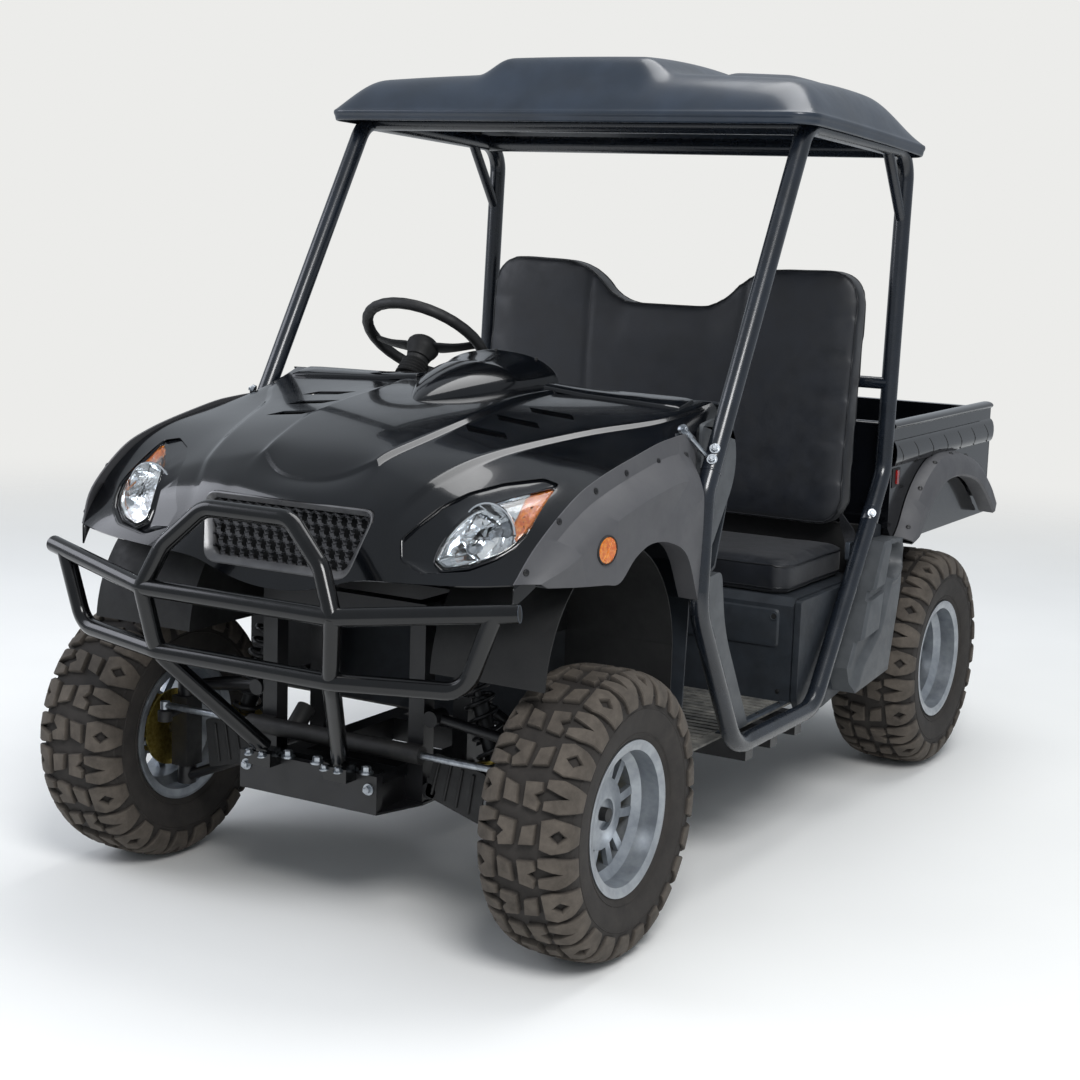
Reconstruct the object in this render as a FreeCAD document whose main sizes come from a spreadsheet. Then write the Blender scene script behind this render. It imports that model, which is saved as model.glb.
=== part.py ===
import FreeCAD, Part
import Sketcher
import math
import os

# Open two-seat side by side utility vehicle with a tipping cargo bed.
# Millimetres. The front faces -Y, the vehicle's left is +X, +Z is up.
# The ground is z = 0 and the origin is the middle of the footprint.

V = FreeCAD.Vector
doc = FreeCAD.newDocument("side_by_side")

# Alias, value, what it sets
DIMENSIONS = (
    ("wheelbase", 1905, "front axle to rear axle"),
    ("front_axle_y", -975, "front axle line"),
    ("tyre_radius", 312, "axle height, to the tips of the tread"),
    ("tread_depth", 13, "height of the lugs"),
    ("tread_pitches", 12, "repeats of the tread round a tyre"),
    ("rim_radius", 168, "rim flange"),
    ("bead_radius", 152, "rim bead seat"),
    ("rim_wall", 6, "rim barrel wall"),
    ("front_tyre_width", 228, "front tyre section"),
    ("rear_tyre_width", 254, "rear tyre section"),
    ("front_rim_width", 184, "front rim over its flanges"),
    ("rear_rim_width", 210, "rear rim over its flanges"),
    ("front_track", 1198, "front wheel centre planes apart"),
    ("rear_track", 1182, "rear wheel centre planes apart"),
    ("kingpin_x", 505, "steering axis to the middle"),
    ("upright_size", 170, "height of the knuckle upright"),
    ("spindle_radius", 15, "wheel spindle"),
    ("spindle_play", 0.05, "running clearance of a spindle or pin"),
    ("spoke_pairs", 6, "twin spokes on a wheel"),
    ("cage_tube", 45, "cage and step tube"),
    ("bumper_tube", 38, "bumper tube"),
    ("brace_tube", 28, "thin brace tube"),
    ("cage_front_y", -556, "front coupler of the cage"),
    ("cage_front_z", 1000, "front coupler of the cage"),
    ("cage_half", 644, "cage tube to the middle at the coupler"),
    ("cage_top_front_y", -104, "top bend of the front hoop"),
    ("cage_top_front_z", 1780, "top bend of the front hoop"),
    ("cage_top_rear_y", -350, "top bend of the rear hoop, from the rear axle"),
    ("cage_top_rear_z", 1744, "top bend of the rear hoop"),
    ("cage_top_half", 636, "top rail to the middle"),
    ("cage_kink_y", -392, "kink low on the rear post, from the rear axle"),
    ("cage_kink_z", 894, "kink low on the rear post"),
    ("cage_foot_y", -480, "rear coupler, from the rear axle"),
    ("cage_foot_z", 770, "rear coupler"),
    ("step_half", 655, "side step tube to the middle"),
    ("step_z", 330, "side step tube height"),
    ("step_front_y", -384, "front end of the low run"),
    ("step_rear_y", -845, "rear end of the low run, from the rear axle"),
    ("step_knee_y", -600, "knee of the front leg"),
    ("step_knee_z", 690, "knee of the front leg"),
    ("rail_half", 150, "chassis rail to the middle"),
    ("rail_width", 50, "chassis rail"),
    ("rail_bottom", 280, "underside of the chassis rails"),
    ("rail_height", 55, "chassis rail"),
    ("rail_front_y", -1150, "front end of the chassis rails"),
    ("rail_rear_y", -310, "rear end of the low chassis rails, from the rear axle"),
    ("member", 40, "square frame member"),
    ("tower_half", 200, "front tower post to the middle"),
    ("tower_front_y", -1028, "front tower post"),
    ("tower_rear_y", -850, "rear tower post"),
    ("tower_top", 720, "top of the front tower"),
    ("subframe_top", 640, "top of the rear subframe under the bed"),
    ("subframe_rear_y", 370, "rear end of the rear subframe, from the rear axle"),
    ("floor_wall", 5, "floor and dash moulding wall"),
    ("body_wall", 5, "body panel wall"),
    ("cabin_half", 602, "floor, dash and seat box half width"),
    ("footwell_y", -566, "front wall of the footwell at the floor"),
    ("seat_box_y", -875, "front of the seat box, from the rear axle"),
    ("seat_box_rear_y", -355, "back of the seat box, from the rear axle"),
    ("seat_box_top", 610, "top of the seat box"),
    ("cushion_depth", 92, "seat cushion thickness"),
    ("cushion_rear_y", -460, "back of the seat cushion, from the rear axle"),
    ("seat_half", 588, "bench seat half width"),
    ("soft_gap", 0.3, "soft parts to their seats"),
    ("back_bottom", 730, "lower edge of the seat back"),
    ("back_top", 1447, "top of the seat back"),
    ("back_saddle", 1339, "dip between the two seat backs"),
    ("back_thickness", 92, "seat back thickness"),
    ("back_foot_y", -535, "front face of the seat back at its foot, from the rear axle"),
    ("back_head_y", -468, "front face of the seat back at its top, from the rear axle"),
    ("roof_wall", 5, "roof shell wall"),
    ("roof_side", 54, "roof lip outside the cage rail"),
    ("roof_front", 101, "roof lip ahead of the front hoop"),
    ("roof_rear", 24, "roof lip behind the rear hoop"),
    ("roof_top", 1945, "top of the roof"),
    ("bed_front_y", -338, "front of the bed, from the rear axle"),
    ("bed_rear_y", 502, "rear of the bed sides, from the rear axle"),
    ("bed_half", 640, "outside of the bed side"),
    ("bed_bulge", 10, "how far the waist band stands out"),
    ("bed_bottom", 680, "underside of the bed floor"),
    ("bed_top", 1012, "top rail of the bed"),
    ("bed_wall", 30, "bed side wall"),
    ("bed_floor", 14, "bed floor"),
    ("bed_pivot_y", 344, "tipping hinge of the bed, from the rear axle"),
    ("bed_pivot_z", 657, "tipping hinge of the bed"),
    ("pin_radius", 9, "hinge pins of bed and tailgate"),
    ("tailgate_wall", 26, "tailgate thickness"),
    ("tailgate_gap", 6, "tailgate to the bed sides"),
    ("arch_behind", 75, "middle of the front arch behind the axle"),
    ("arch_over", 278, "middle of the front arch over the axle"),
    ("arch_radius", 285, "front wheel arch"),
    ("liner_wall", 3, "wheel arch liners"),
    ("grille_pitch", 25.5, "honeycomb cells apart"),
    ("grille_web", 4.5, "wall between two cells"),
    ("grille_rim", 14, "bevelled surround of the grille"),
    ("bumper_y", -1423.5, "front rail of the bumper"),
    ("bumper_half", 608, "end of the bumper rail to the middle"),
    ("bumper_z", 757, "front rail of the bumper"),
    ("wheel_half", 175, "steering wheel rim radius"),
    ("wheel_grip", 15, "steering wheel rim section radius"),
    ("wheel_x", -305, "steering wheel centre, driver on the right"),
    ("wheel_y", -285, "steering wheel centre"),
    ("wheel_z", 1222, "steering wheel centre"),
    ("wheel_tilt", 38, "degrees, steering wheel lean"),
    ("column_radius", 30, "steering column cover"),
    ("drawbar_hole", 19, "drawbar pin hole under the tail"),
    ("cover_gap", 5, "room round what moves"),
)

sheet = doc.addObject("Spreadsheet::Sheet", "Dims")
for row, (alias, value, use) in enumerate(DIMENSIONS, start=1):
    sheet.set("A%d" % row, use)
    sheet.set("B%d" % row, str(value))
    sheet.setAlias("B%d" % row, alias)
doc.recompute()


def dim(alias):
    return float(sheet.get(alias))


def behind(alias):
    """Place along Y of a size that is stated from the rear axle."""
    return rear_axle_y + dim(alias)


front_axle_y = dim("front_axle_y")
rear_axle_y = front_axle_y + dim("wheelbase")
axle_z = dim("tyre_radius")
rail_top = dim("rail_bottom") + dim("rail_height")
LEFT = 1
RIGHT = -1
SIDES = ((LEFT, "left"), (RIGHT, "right"))

made = []


# Common makers

def new_body(label):
    body = doc.addObject("PartDesign::Body", label)
    body.Label = label
    made.append(body)
    return body


def sketch_on(body, role, name, offset=0.0):
    plane = next(item for item in body.Origin.OriginFeatures if item.Role == role)
    sketch = body.newObject("Sketcher::SketchObject", name)
    sketch.AttachmentSupport = [(plane, "")]
    sketch.MapMode = "FlatFace"
    sketch.AttachmentOffset = FreeCAD.Placement(V(0, 0, offset), FreeCAD.Rotation())
    return sketch


def draw_outline(sketch, points):
    """Closed outline. A point with a third value starts an arc through it to the next one."""
    count = len(points)
    for index, point in enumerate(points):
        following = points[(index + 1) % count]
        start = V(point[0], point[1], 0)
        finish = V(following[0], following[1], 0)
        if len(point) == 4:
            middle = V(point[2], point[3], 0)
            sketch.addGeometry(Part.Arc(start, middle, finish), False)
        else:
            sketch.addGeometry(Part.LineSegment(start, finish), False)


def draw_circle(sketch, centre, radius, rule=None):
    index = sketch.addGeometry(Part.Circle(V(centre[0], centre[1], 0), V(0, 0, 1), radius), False)
    bound = sketch.addConstraint(Sketcher.Constraint("Radius", index, radius))
    if rule:
        sketch.setExpression("Constraints[%d]" % bound, rule)


def pad(body, sketch, rule, name, back=False):
    feature = body.newObject("PartDesign::Pad", name)
    feature.Profile = sketch
    feature.Reversed = back
    feature.setExpression("Length", rule)
    sketch.Visibility = False
    return feature


def pocket(body, sketch, rule, name, back=False):
    feature = body.newObject("PartDesign::Pocket", name)
    feature.Profile = sketch
    feature.Reversed = back
    feature.setExpression("Length", rule)
    return feature


def spin(body, sketch, role, name):
    axis = next(item for item in body.Origin.OriginFeatures if item.Role == role)
    feature = body.newObject("PartDesign::Revolution", name)
    feature.Profile = sketch
    feature.ReferenceAxis = (axis, [""])
    feature.Angle = 360
    return feature


def ring_pattern(body, features, role, rule, name):
    axis = next(item for item in body.Origin.OriginFeatures if item.Role == role)
    feature = body.newObject("PartDesign::PolarPattern", name)
    feature.Originals = features
    feature.Axis = (axis, [""])
    feature.Angle = 360
    feature.setExpression("Occurrences", rule)
    body.Tip = feature
    return feature


def shape_part(label, shape):
    item = doc.addObject("Part::Feature", label)
    item.Label = label
    item.Shape = shape
    made.append(item)
    return item


def mirrored(shape):
    return shape.mirror(V(0, 0, 0), V(1, 0, 0))


def both(shape):
    return [shape, mirrored(shape)]


def fuse(shapes):
    result = shapes[0]
    if len(shapes) > 1:
        result = result.multiFuse(shapes[1:])
    return result.removeSplitter()


def block(x_range, y_range, z_range):
    low = V(x_range[0], y_range[0], z_range[0])
    return Part.makeBox(
        x_range[1] - x_range[0], y_range[1] - y_range[0], z_range[1] - z_range[0], low)


def rod(start, finish, radius):
    run = V(*finish) - V(*start)
    return Part.makeCylinder(radius, run.Length, V(*start), run)


def bent_wire(points, radii):
    """Straight runs joined by tangent arcs, one radius for each inner point."""
    corners = [V(*point) for point in points]
    edges = []
    here = corners[0]
    for corner, after, radius in zip(corners[1:-1], corners[2:], radii):
        inward = (corner - here).normalize()
        outward = (V(after) - corner).normalize()
        turn = inward.getAngle(outward)
        setback = radius * math.tan(turn / 2)
        arc_start = corner - inward * setback
        arc_end = corner + outward * setback
        bisector = (outward - inward).normalize()
        centre = corner + bisector * (radius / math.cos(turn / 2))
        arc_middle = centre + (corner - centre).normalize() * radius
        edges.append(Part.LineSegment(here, arc_start).toShape())
        edges.append(Part.Arc(arc_start, arc_middle, arc_end).toShape())
        here = arc_end
    edges.append(Part.LineSegment(here, corners[-1]).toShape())
    return Part.Wire(edges)


def tube(points, radii, diameter):
    path = bent_wire(points, radii)
    start = V(*points[0])
    heading = V(*points[1]) - start
    ring = Part.Wire([Part.makeCircle(diameter / 2, start, heading)])
    return path.makePipeShell([ring], True, False)


def closed_wire(points):
    """Closed wire in space. A pair (point, middle) starts an arc through middle."""
    edges = []
    count = len(points)
    for index, entry in enumerate(points):
        following = points[(index + 1) % count]
        finish = V(*(following[0] if isinstance(following[0], tuple) else following))
        if isinstance(entry[0], tuple):
            edges.append(Part.Arc(V(*entry[0]), V(*entry[1]), finish).toShape())
        else:
            edges.append(Part.LineSegment(V(*entry), finish).toShape())
    return Part.Wire(edges)


def side_prism(points, x_from, x_to):
    """Outline in the side view (y, z), carried from one x to another."""
    wire = Part.makePolygon([V(x_from, y, z) for y, z in points + points[:1]])
    return Part.Face(wire).extrude(V(x_to - x_from, 0, 0))


def front_prism(points, y_from, y_to):
    """Outline in the front view (x, z), carried from one y to another."""
    wire = Part.makePolygon([V(x, y_from, z) for x, z in points + points[:1]])
    return Part.Face(wire).extrude(V(0, y_to - y_from, 0))


# Routes of the cage and of the side step tubes on the left

HOOP_BENDS = (80, 80, 90)
STEP_BENDS = (60, 140, 110, 110)


def hoop_route():
    top_half = dim("cage_top_half")
    return [
        (dim("cage_half"), dim("cage_front_y"), dim("cage_front_z")),
        (top_half, dim("cage_top_front_y"), dim("cage_top_front_z")),
        (top_half, behind("cage_top_rear_y"), dim("cage_top_rear_z")),
        (top_half + 2, behind("cage_kink_y"), dim("cage_kink_z")),
        (top_half + 4, behind("cage_foot_y"), dim("cage_foot_z"))]


def step_route():
    """Starts in line with the front hoop, a seam below it, and ends just under the rear post."""
    hoop = [V(*point) for point in hoop_route()]
    down = (hoop[0] - hoop[1]).normalize()
    start = hoop[0] + down * 0.5
    half = dim("step_half")
    low_rear = V(half, behind("step_rear_y"), dim("step_z"))
    up = (hoop[4] - low_rear).normalize()
    return [tuple(start), tuple(start + down * 50), (half - 5, dim("step_knee_y"), dim("step_knee_z")),
            (half, dim("step_front_y"), dim("step_z")), tuple(low_rear), tuple(hoop[4] - up * 2.2)]


# Chassis: two rails, front tower, outriggers and the rear subframe under the bed

EAR_RADIUS = 15

def chassis_frame():
    half = dim("rail_half")
    width = dim("rail_width") / 2
    size = dim("member")
    bottom = dim("rail_bottom")
    tower = dim("tower_half")
    top = dim("subframe_top")
    rear_post = behind("rail_rear_y") - size
    pieces = []
    for side in (LEFT, RIGHT):
        x = side * half
        x_range = (x - width, x + width)
        pieces.append(block(x_range, (dim("rail_front_y"), behind("rail_rear_y")), (bottom, rail_top)))
        pieces.append(block(x_range, (rear_post, behind("rail_rear_y")), (bottom, top)))
        pieces.append(block(x_range, (rear_post, behind("subframe_rear_y")), (top - size, top)))
        for y in (dim("tower_front_y"), dim("tower_rear_y")):
            post_x = side * tower
            pieces.append(block(
                (post_x - size / 2, post_x + size / 2), (y - size / 2, y + size / 2),
                (bottom, dim("tower_top"))))
        tower_x = (side * tower - size / 2, side * tower + size / 2)
        pieces.append(block(tower_x, (dim("tower_front_y"), dim("tower_rear_y")),
                            (dim("tower_top") - size, dim("tower_top"))))
    outer = tower + size / 2
    for y in (dim("tower_front_y"), dim("tower_rear_y")):
        y_range = (y - size / 2, y + size / 2)
        pieces.append(block((-outer, outer), y_range, (bottom, rail_top)))
        pieces.append(block((-outer, outer), y_range, (dim("tower_top") - size, dim("tower_top"))))
    step_reach = dim("step_half")
    middle = (dim("step_front_y") + behind("step_rear_y")) / 2
    for y in (dim("step_front_y") + 90, middle, behind("step_rear_y") - 85):
        pieces.append(block((-step_reach, step_reach), (y - size / 2, y + size / 2),
                            (bottom, rail_top)))
    for y in (dim("footwell_y") - 74, behind("seat_box_y") + 285):
        pieces.append(block((-half, half), (y - size / 2, y + size / 2), (bottom, rail_top)))
    for y in (rear_post, rear_axle_y - 30, behind("subframe_rear_y") - size):
        pieces.append(block((-half, half), (y, y + size), (top - size, top)))
    frame = fuse(pieces)
    step_radius = dim("cage_tube") / 2
    for side in (LEFT, RIGHT):
        x = side * dim("step_half")
        frame = frame.cut(rod((x, -1000, dim("step_z")), (x, 1000, dim("step_z")), step_radius))
    ears = []
    for side in (LEFT, RIGHT):
        for offset in (-14, 14):
            x = side * half + offset
            ears.append(rod((x - 4, behind("bed_pivot_y"), dim("bed_pivot_z")),
                            (x + 4, behind("bed_pivot_y"), dim("bed_pivot_z")), EAR_RADIUS))
            ears.append(block((x - 4, x + 4), (behind("bed_pivot_y") - EAR_RADIUS,
                                               behind("bed_pivot_y") + EAR_RADIUS),
                              (top - 5, dim("bed_pivot_z"))))
        x = side * half
        pin = rod((x - 22, behind("bed_pivot_y"), dim("bed_pivot_z")),
                  (x + 22, behind("bed_pivot_y"), dim("bed_pivot_z")), dim("pin_radius"))
        ears.append(pin)
    rear = behind("subframe_rear_y")
    drops = [block((s * 45 - 6, s * 45 + 6), (rear - size, rear), (450, top)) for s in (LEFT, RIGHT)]
    tongue = block((-51, 51), (rear - size, rear + 52), (454, 466))
    tongue = tongue.cut(rod((0, rear + 22, 400), (0, rear + 22, 500), dim("drawbar_hole") / 2))
    return shape_part("chassis_frame", fuse([frame, tongue] + drops + ears))


# Skid plate under the nose

def skid_plate():
    y_front = dim("rail_front_y") - 22
    y_rear = dim("tower_rear_y") + 60
    body = new_body("skid_plate")
    base = sketch_on(body, "XY_Plane", "SkidOutline", dim("rail_bottom") - 5)
    draw_outline(base, [(-185, y_front), (185, y_front), (225, y_front + 120), (225, y_rear),
                        (-225, y_rear), (-225, y_front + 120)])
    pad(body, base, "5 mm", "SkidFloor")
    doc.recompute()
    lip = sketch_on(body, "XY_Plane", "SkidLip", dim("rail_bottom"))
    draw_outline(lip, [(-185, y_front), (185, y_front), (185, y_front + 22), (-185, y_front + 22)])
    pad(body, lip, "Dims.rail_height + 25", "SkidNose")
    return body


# Front bumper: long rail, upper hoop, lower rail and two uprights

def front_bumper():
    size = dim("bumper_tube")
    y = dim("bumper_y")
    z = dim("bumper_z")
    end = dim("bumper_half")
    foot_y = dim("rail_front_y") - 22 - 12
    top_rail = tube([(-end, y + 116, z + 36), (-247, y, z), (247, y, z), (end, y + 116, z + 36)],
                    [90, 90], size)
    hoop = tube([(-247, y, z), (-205, y + 18, z + 92), (-112, y + 38, z + 178),
                 (112, y + 38, z + 178), (205, y + 18, z + 92), (247, y, z)], [60, 60, 60, 60], size)
    low_rail = tube([(-560, y + 101, z + 31), (-500, y + 96, z - 132), (-228, y + 24, z - 138),
                     (228, y + 24, z - 138), (500, y + 96, z - 132), (560, y + 101, z + 31)],
                    [60, 90, 90, 60], size)
    uprights = both(tube([(247, y, z), (228, y + 24, z - 138), (102, foot_y - 6, 383)],
                         [120], size))
    feet = both(block((72, 132), (foot_y - 26, foot_y + 12), (345, 383)))
    return shape_part("front_bumper", fuse([top_rail, hoop, low_rail] + uprights + feet))


# Body sections from the nose to the dash, half of each:
# y, lean of the section, then x and z of its foot, fender edge, lamp line, outer crease
# and panel crease, and z of the crown
HOOD_SECTIONS = (
    (-1297, 0.369, 396, 745, 440, 838, 400, 905, 252, 938, 150, 950, 953),
    (-1225, 0.0, 560, 790, 584, 862, 430, 915, 258, 950, 150, 970, 973),
    (-1150, 0.0, 580, 820, 598, 926, 440, 966, 291, 1004, 142, 1020, 1027),
    (-1030, 0.0, 594, 850, 600, 1004, 478, 1018, 320, 1046, 168, 1066, 1071),
    (-860, 0.0, 596, 870, 602, 1044, 518, 1058, 391, 1076, 189, 1104, 1111),
    (-640, 0.0, 598, 880, 602, 1070, 575, 1096, 530, 1106, 184, 1134, 1141),
    (-452, 0.0, 600, 900, 602, 1108, 596, 1134, 586, 1143, 225, 1149, 1154),
)
NOSE_REFERENCE_Z = 805


def hood_form(inset, drop):
    """Closed form of the nose; the inset form lies that far inside it and reaches lower."""
    wires = []
    for section in HOOD_SECTIONS:
        y, lean = section[:2]
        crown = section[-1]
        if section is HOOD_SECTIONS[0]:
            y += inset
        pairs = list(zip(section[2:-1:2], section[3:-1:2]))
        half = [(pairs[0][0] - inset, pairs[0][1] - drop), (pairs[1][0] - inset, pairs[1][1] - inset / 2)]
        half += [(x - inset / 2, z - inset) for x, z in pairs[2:4]]
        half += [(pairs[4][0], pairs[4][1] - inset), (0, crown - inset)]
        points = [(x, y + lean * (z - NOSE_REFERENCE_Z), z) for x, z in half]
        left = [(-x, at, z) for x, at, z in reversed(points[:5])]
        wires.append(closed_wire(points[:4] + [(points[4], points[5])] + left))
    return Part.makeLoft(wires, True, True)


HOOD_HUMP = (
    # y, half width, base z, height
    (-774, 12, 1116, 9),
    (-640, 92, 1136, 40),
    (-430, 164, 1150, 69),
)


def hump_form(inset):
    wires = []
    for y, half, base, height in HOOD_HUMP:
        x = half - inset
        z = base - 24
        top = base + height - inset
        wires.append(closed_wire([(-x, y, z), (x, y, z), ((x, y, base), (0, y, top)), (-x, y, base)]))
    return Part.makeLoft(wires, True, True)


GRILLE_OUTLINE = ((224, 946), (186, 805))


def grille_prism(margin, y_from, y_to):
    (x_top, z_top), (x_low, z_low) = GRILLE_OUTLINE
    return front_prism([(-x_top - margin, z_top + margin), (x_top + margin, z_top + margin),
                        (x_low + margin, z_low - margin), (-x_low - margin, z_low - margin)],
                       y_from, y_to)


LAMP_OUTLINE = ((304, 858), (294, 897), (313, 921), (347, 966), (377, 990), (422, 1007), (487, 1018),
                (529, 1010), (539, 921), (505, 873), (458, 849), (366, 837))


def lamp_prism(margin):
    centre_x = sum(x for x, z in LAMP_OUTLINE) / len(LAMP_OUTLINE)
    centre_z = sum(z for x, z in LAMP_OUTLINE) / len(LAMP_OUTLINE)
    outline = []
    for x, z in LAMP_OUTLINE:
        reach = math.hypot(x - centre_x, z - centre_z)
        grow = 1 + margin / reach
        outline.append((centre_x + (x - centre_x) * grow, centre_z + (z - centre_z) * grow))
    return front_prism(outline, -1400, -980)


def arch_rod(x_from, x_to, radius):
    """Round bar along the middle of the left front wheel arch."""
    y = front_axle_y + dim("arch_behind")
    z = axle_z + dim("arch_over")
    return rod((x_from, y, z), (x_to, y, z), radius)


# Vent slots in the hood: middle y of each, its inner and its outer end
HOOD_VENTS = ((-692, 252, 362), (-791, 226, 332), (-893, 210, 312))


def hood():
    wall = dim("body_wall")
    shell = hood_form(0, 0).fuse(hump_form(0))
    inner = hood_form(wall, 60).fuse(hump_form(wall))
    shell = shell.cut(inner)
    rear_y = HOOD_SECTIONS[-1][0]
    shell = shell.cut(block((-700, 700), (rear_y - wall, rear_y + 52), (700, HOOD_SECTIONS[-1][-1] - wall)))
    shell = shell.cut(grille_prism(0, -1400, -1180))
    for cutter in both(lamp_prism(0)):
        shell = shell.cut(cutter)
    for cutter in both(arch_rod(330, 700, dim("arch_radius"))):
        shell = shell.cut(cutter)
    for y, x_in, x_out in HOOD_VENTS:
        corners = ((x_in + 16, y - 17), (x_out + 16, y - 17), (x_out - 12, y + 17), (x_in - 12, y + 17))
        slot = Part.Face(closed_wire([(x, at, 1040) for x, at in corners])).extrude(V(0, 0, 200))
        for cutter in both(slot):
            shell = shell.cut(cutter)
    return shape_part("hood", shell)


# Grille: bevelled surround and a leaning honeycomb, its six-sided cells in staggered rows

def honeycomb(plate):
    """Cuts the cells that lie wholly inside the plate."""
    pitch = dim("grille_pitch")
    radius = (pitch - dim("grille_web")) / math.sqrt(3)
    row_rise = pitch * math.sqrt(3) / 2
    (x_top, z_top), (x_low, z_low) = GRILLE_OUTLINE
    room = dim("grille_rim") + pitch / 2 + 1
    cells = []
    row = 0
    z = z_low + room
    while z < z_top - room:
        x_reach = x_low + (x_top - x_low) * (z - z_low) / (z_top - z_low) - room
        shift = pitch / 2 if row % 2 else 0
        column = -math.floor((x_reach + shift) / pitch)
        while column * pitch + shift <= x_reach:
            x = column * pitch + shift
            corners = [(x + radius * math.sin(math.radians(60 * k)), -1340,
                        z + radius * math.cos(math.radians(60 * k))) for k in range(6)]
            cells.append(Part.Face(closed_wire(corners)).extrude(V(0, 140, 0)))
            column += 1
        row += 1
        z += row_rise
    return plate.cut(Part.makeCompound(cells))


def grille():
    rim = dim("grille_rim")
    form = hood_form(0, 0)
    surround = grille_prism(-dim("soft_gap"), -1330, -1225).cut(grille_prism(-rim, -1400, -1100))
    surround = surround.common(form)
    depth = 8
    (x_top, z_top), (x_low, z_low) = GRILLE_OUTLINE
    lean = HOOD_SECTIONS[0][1]
    face_y = HOOD_SECTIONS[0][0] + 12
    side = [(-700, face_y + (z_low - 50 - NOSE_REFERENCE_Z) * lean, z_low - 50),
            (-700, face_y + (z_top + 50 - NOSE_REFERENCE_Z) * lean, z_top + 50),
            (-700, face_y + depth + (z_top + 50 - NOSE_REFERENCE_Z) * lean, z_top + 50),
            (-700, face_y + depth + (z_low - 50 - NOSE_REFERENCE_Z) * lean, z_low - 50)]
    slab = Part.Face(closed_wire(side)).extrude(V(1400, 0, 0))
    mesh = honeycomb(slab.common(grille_prism(-rim + 1, -1340, -1200)))
    return shape_part("grille", fuse([surround, mesh]))


# Headlamps: lens blocks that follow the skin

def headlights():
    skin = hood_form(2, 0).cut(hood_form(46, 0))
    lens = skin.common(lamp_prism(-0.5))
    return shape_part("headlights", Part.makeCompound(both(lens)))


# Front flares: moulded lips over the steered wheels, (y, z) in the side view
FLARE_BACK = ((-1262, 838), (-1210, 915), (-1100, 990), (-1000, 1026), (-850, 1058),
              (-700, 1080), (-566, 1072), (-590, 960), (-606, 720), (-640, 742), (-690, 835),
              (-760, 872), (-850, 884), (-930, 868), (-997, 818))
FLARE_FACE = ((-1248, 838), (-1130, 900), (-1010, 952), (-870, 978), (-740, 972), (-640, 940),
              (-612, 880), (-606, 720), (-640, 742), (-690, 835),
              (-760, 872), (-850, 884), (-930, 868), (-997, 818), (-1120, 828))


def flare_form(back, face, x_back, x_face):
    root = side_prism(list(back), x_back, x_back + 14)
    lip = side_prism(list(face), x_back + 2, x_face)
    return root.fuse(lip)


def front_flares():
    x_back = 600
    x_face = 664
    wall = dim("body_wall")
    form = flare_form(FLARE_BACK, FLARE_FACE, x_back, x_face)
    inner = []
    for y, z in FLARE_FACE[:7]:
        inner.append((y + wall, z - wall))
    hollow = side_prism(inner + [(-611, 700), (-997, 700), (-1240, 700)], 560, x_face - wall)
    form = form.cut(hollow)
    form = form.cut(hood_form(0, 0)).cut(tube(step_route(), STEP_BENDS, dim("cage_tube") + 6))
    form = form.cut(tube(hoop_route(), HOOP_BENDS, dim("cage_tube") + 6))
    form = max(form.Solids, key=lambda solid: solid.Volume)
    return shape_part("front_flares", Part.makeCompound(both(form)))


# Wheel arch liners behind the flares

def wheel_liners():
    wall = dim("liner_wall")
    x_in = dim("tower_half") + 122
    x_out = dim("cabin_half") - 4
    radius = dim("arch_radius") - dim("soft_gap")
    arch = arch_rod(x_in, x_out, radius).cut(arch_rod(x_in + 5, x_out + 50, radius - wall))
    arch = arch.cut(block((0, 700), (-1400, 0), (0, axle_z + 298)))
    rear_y = front_axle_y + dim("arch_behind") + radius
    rear_wall = block((x_in, x_out), (rear_y - wall, rear_y), (rail_top + 25, axle_z + 300))
    liner = fuse([arch, rear_wall])
    return shape_part("wheel_liners", Part.makeCompound(both(liner)))


def wheel_axis():
    tilt = math.radians(dim("wheel_tilt"))
    return V(0, math.sin(tilt), math.cos(tilt))


# Dash and footwell wall in one folded moulding, hollow behind

def dash_panel():
    wall = dim("floor_wall")
    body = doc.addObject("PartDesign::Body", "dash_moulding")
    profile = sketch_on(body, "YZ_Plane", "DashProfile", -dim("cabin_half"))
    floor = rail_top + wall
    foot = dim("footwell_y")
    outer = [(-446, 1144), (-400, 1140), (-352, 1100), (-372, 900), (-420, 760),
             (foot + 20, 700), (foot, floor)]
    inner = [(foot - wall, floor), (foot + 20 - wall, 700 + wall), (-424 - wall / 2, 760 + wall),
             (-372 - wall, 900), (-352 - wall, 1100 - 2), (-402, 1140 - wall), (-446, 1144 - wall)]
    draw_outline(profile, outer + inner)
    pad(body, profile, "2 * Dims.cabin_half", "DashWidth")
    doc.recompute()
    gap = dim("body_wall") + dim("soft_gap")
    rear_y = HOOD_SECTIONS[-1][0]
    under_hood = hood_form(gap, 0).cut(hood_form(gap + wall, 0))
    flange = doc.addObject("Part::Feature", "CowlFlange")
    strip = block((-540, 540), (rear_y - 22, rear_y), (1090, 1200)).common(under_hood)
    lip = block((-540, 540), (rear_y - 2, rear_y + 22), (1139, 1143))
    flange.Shape = strip.fuse(lip)
    joined = doc.addObject("Part::Fuse", "dash_with_flange")
    joined.Base = body
    joined.Tool = flange
    hole = doc.addObject("Part::Cylinder", "ColumnHole")
    hole.setExpression("Radius", "Dims.column_radius + Dims.soft_gap")
    hole.Height = 260
    axis = wheel_axis()
    centre = V(dim("wheel_x"), dim("wheel_y"), dim("wheel_z")) - axis * 300
    hole.Placement = FreeCAD.Placement(centre, FreeCAD.Rotation(V(0, 0, 1), axis))
    cut = doc.addObject("Part::Cut", "dash_panel")
    cut.Label = "dash_panel"
    cut.Base = joined
    cut.Tool = hole
    made.append(cut)
    return cut


# Floor pan with raised sills

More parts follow.
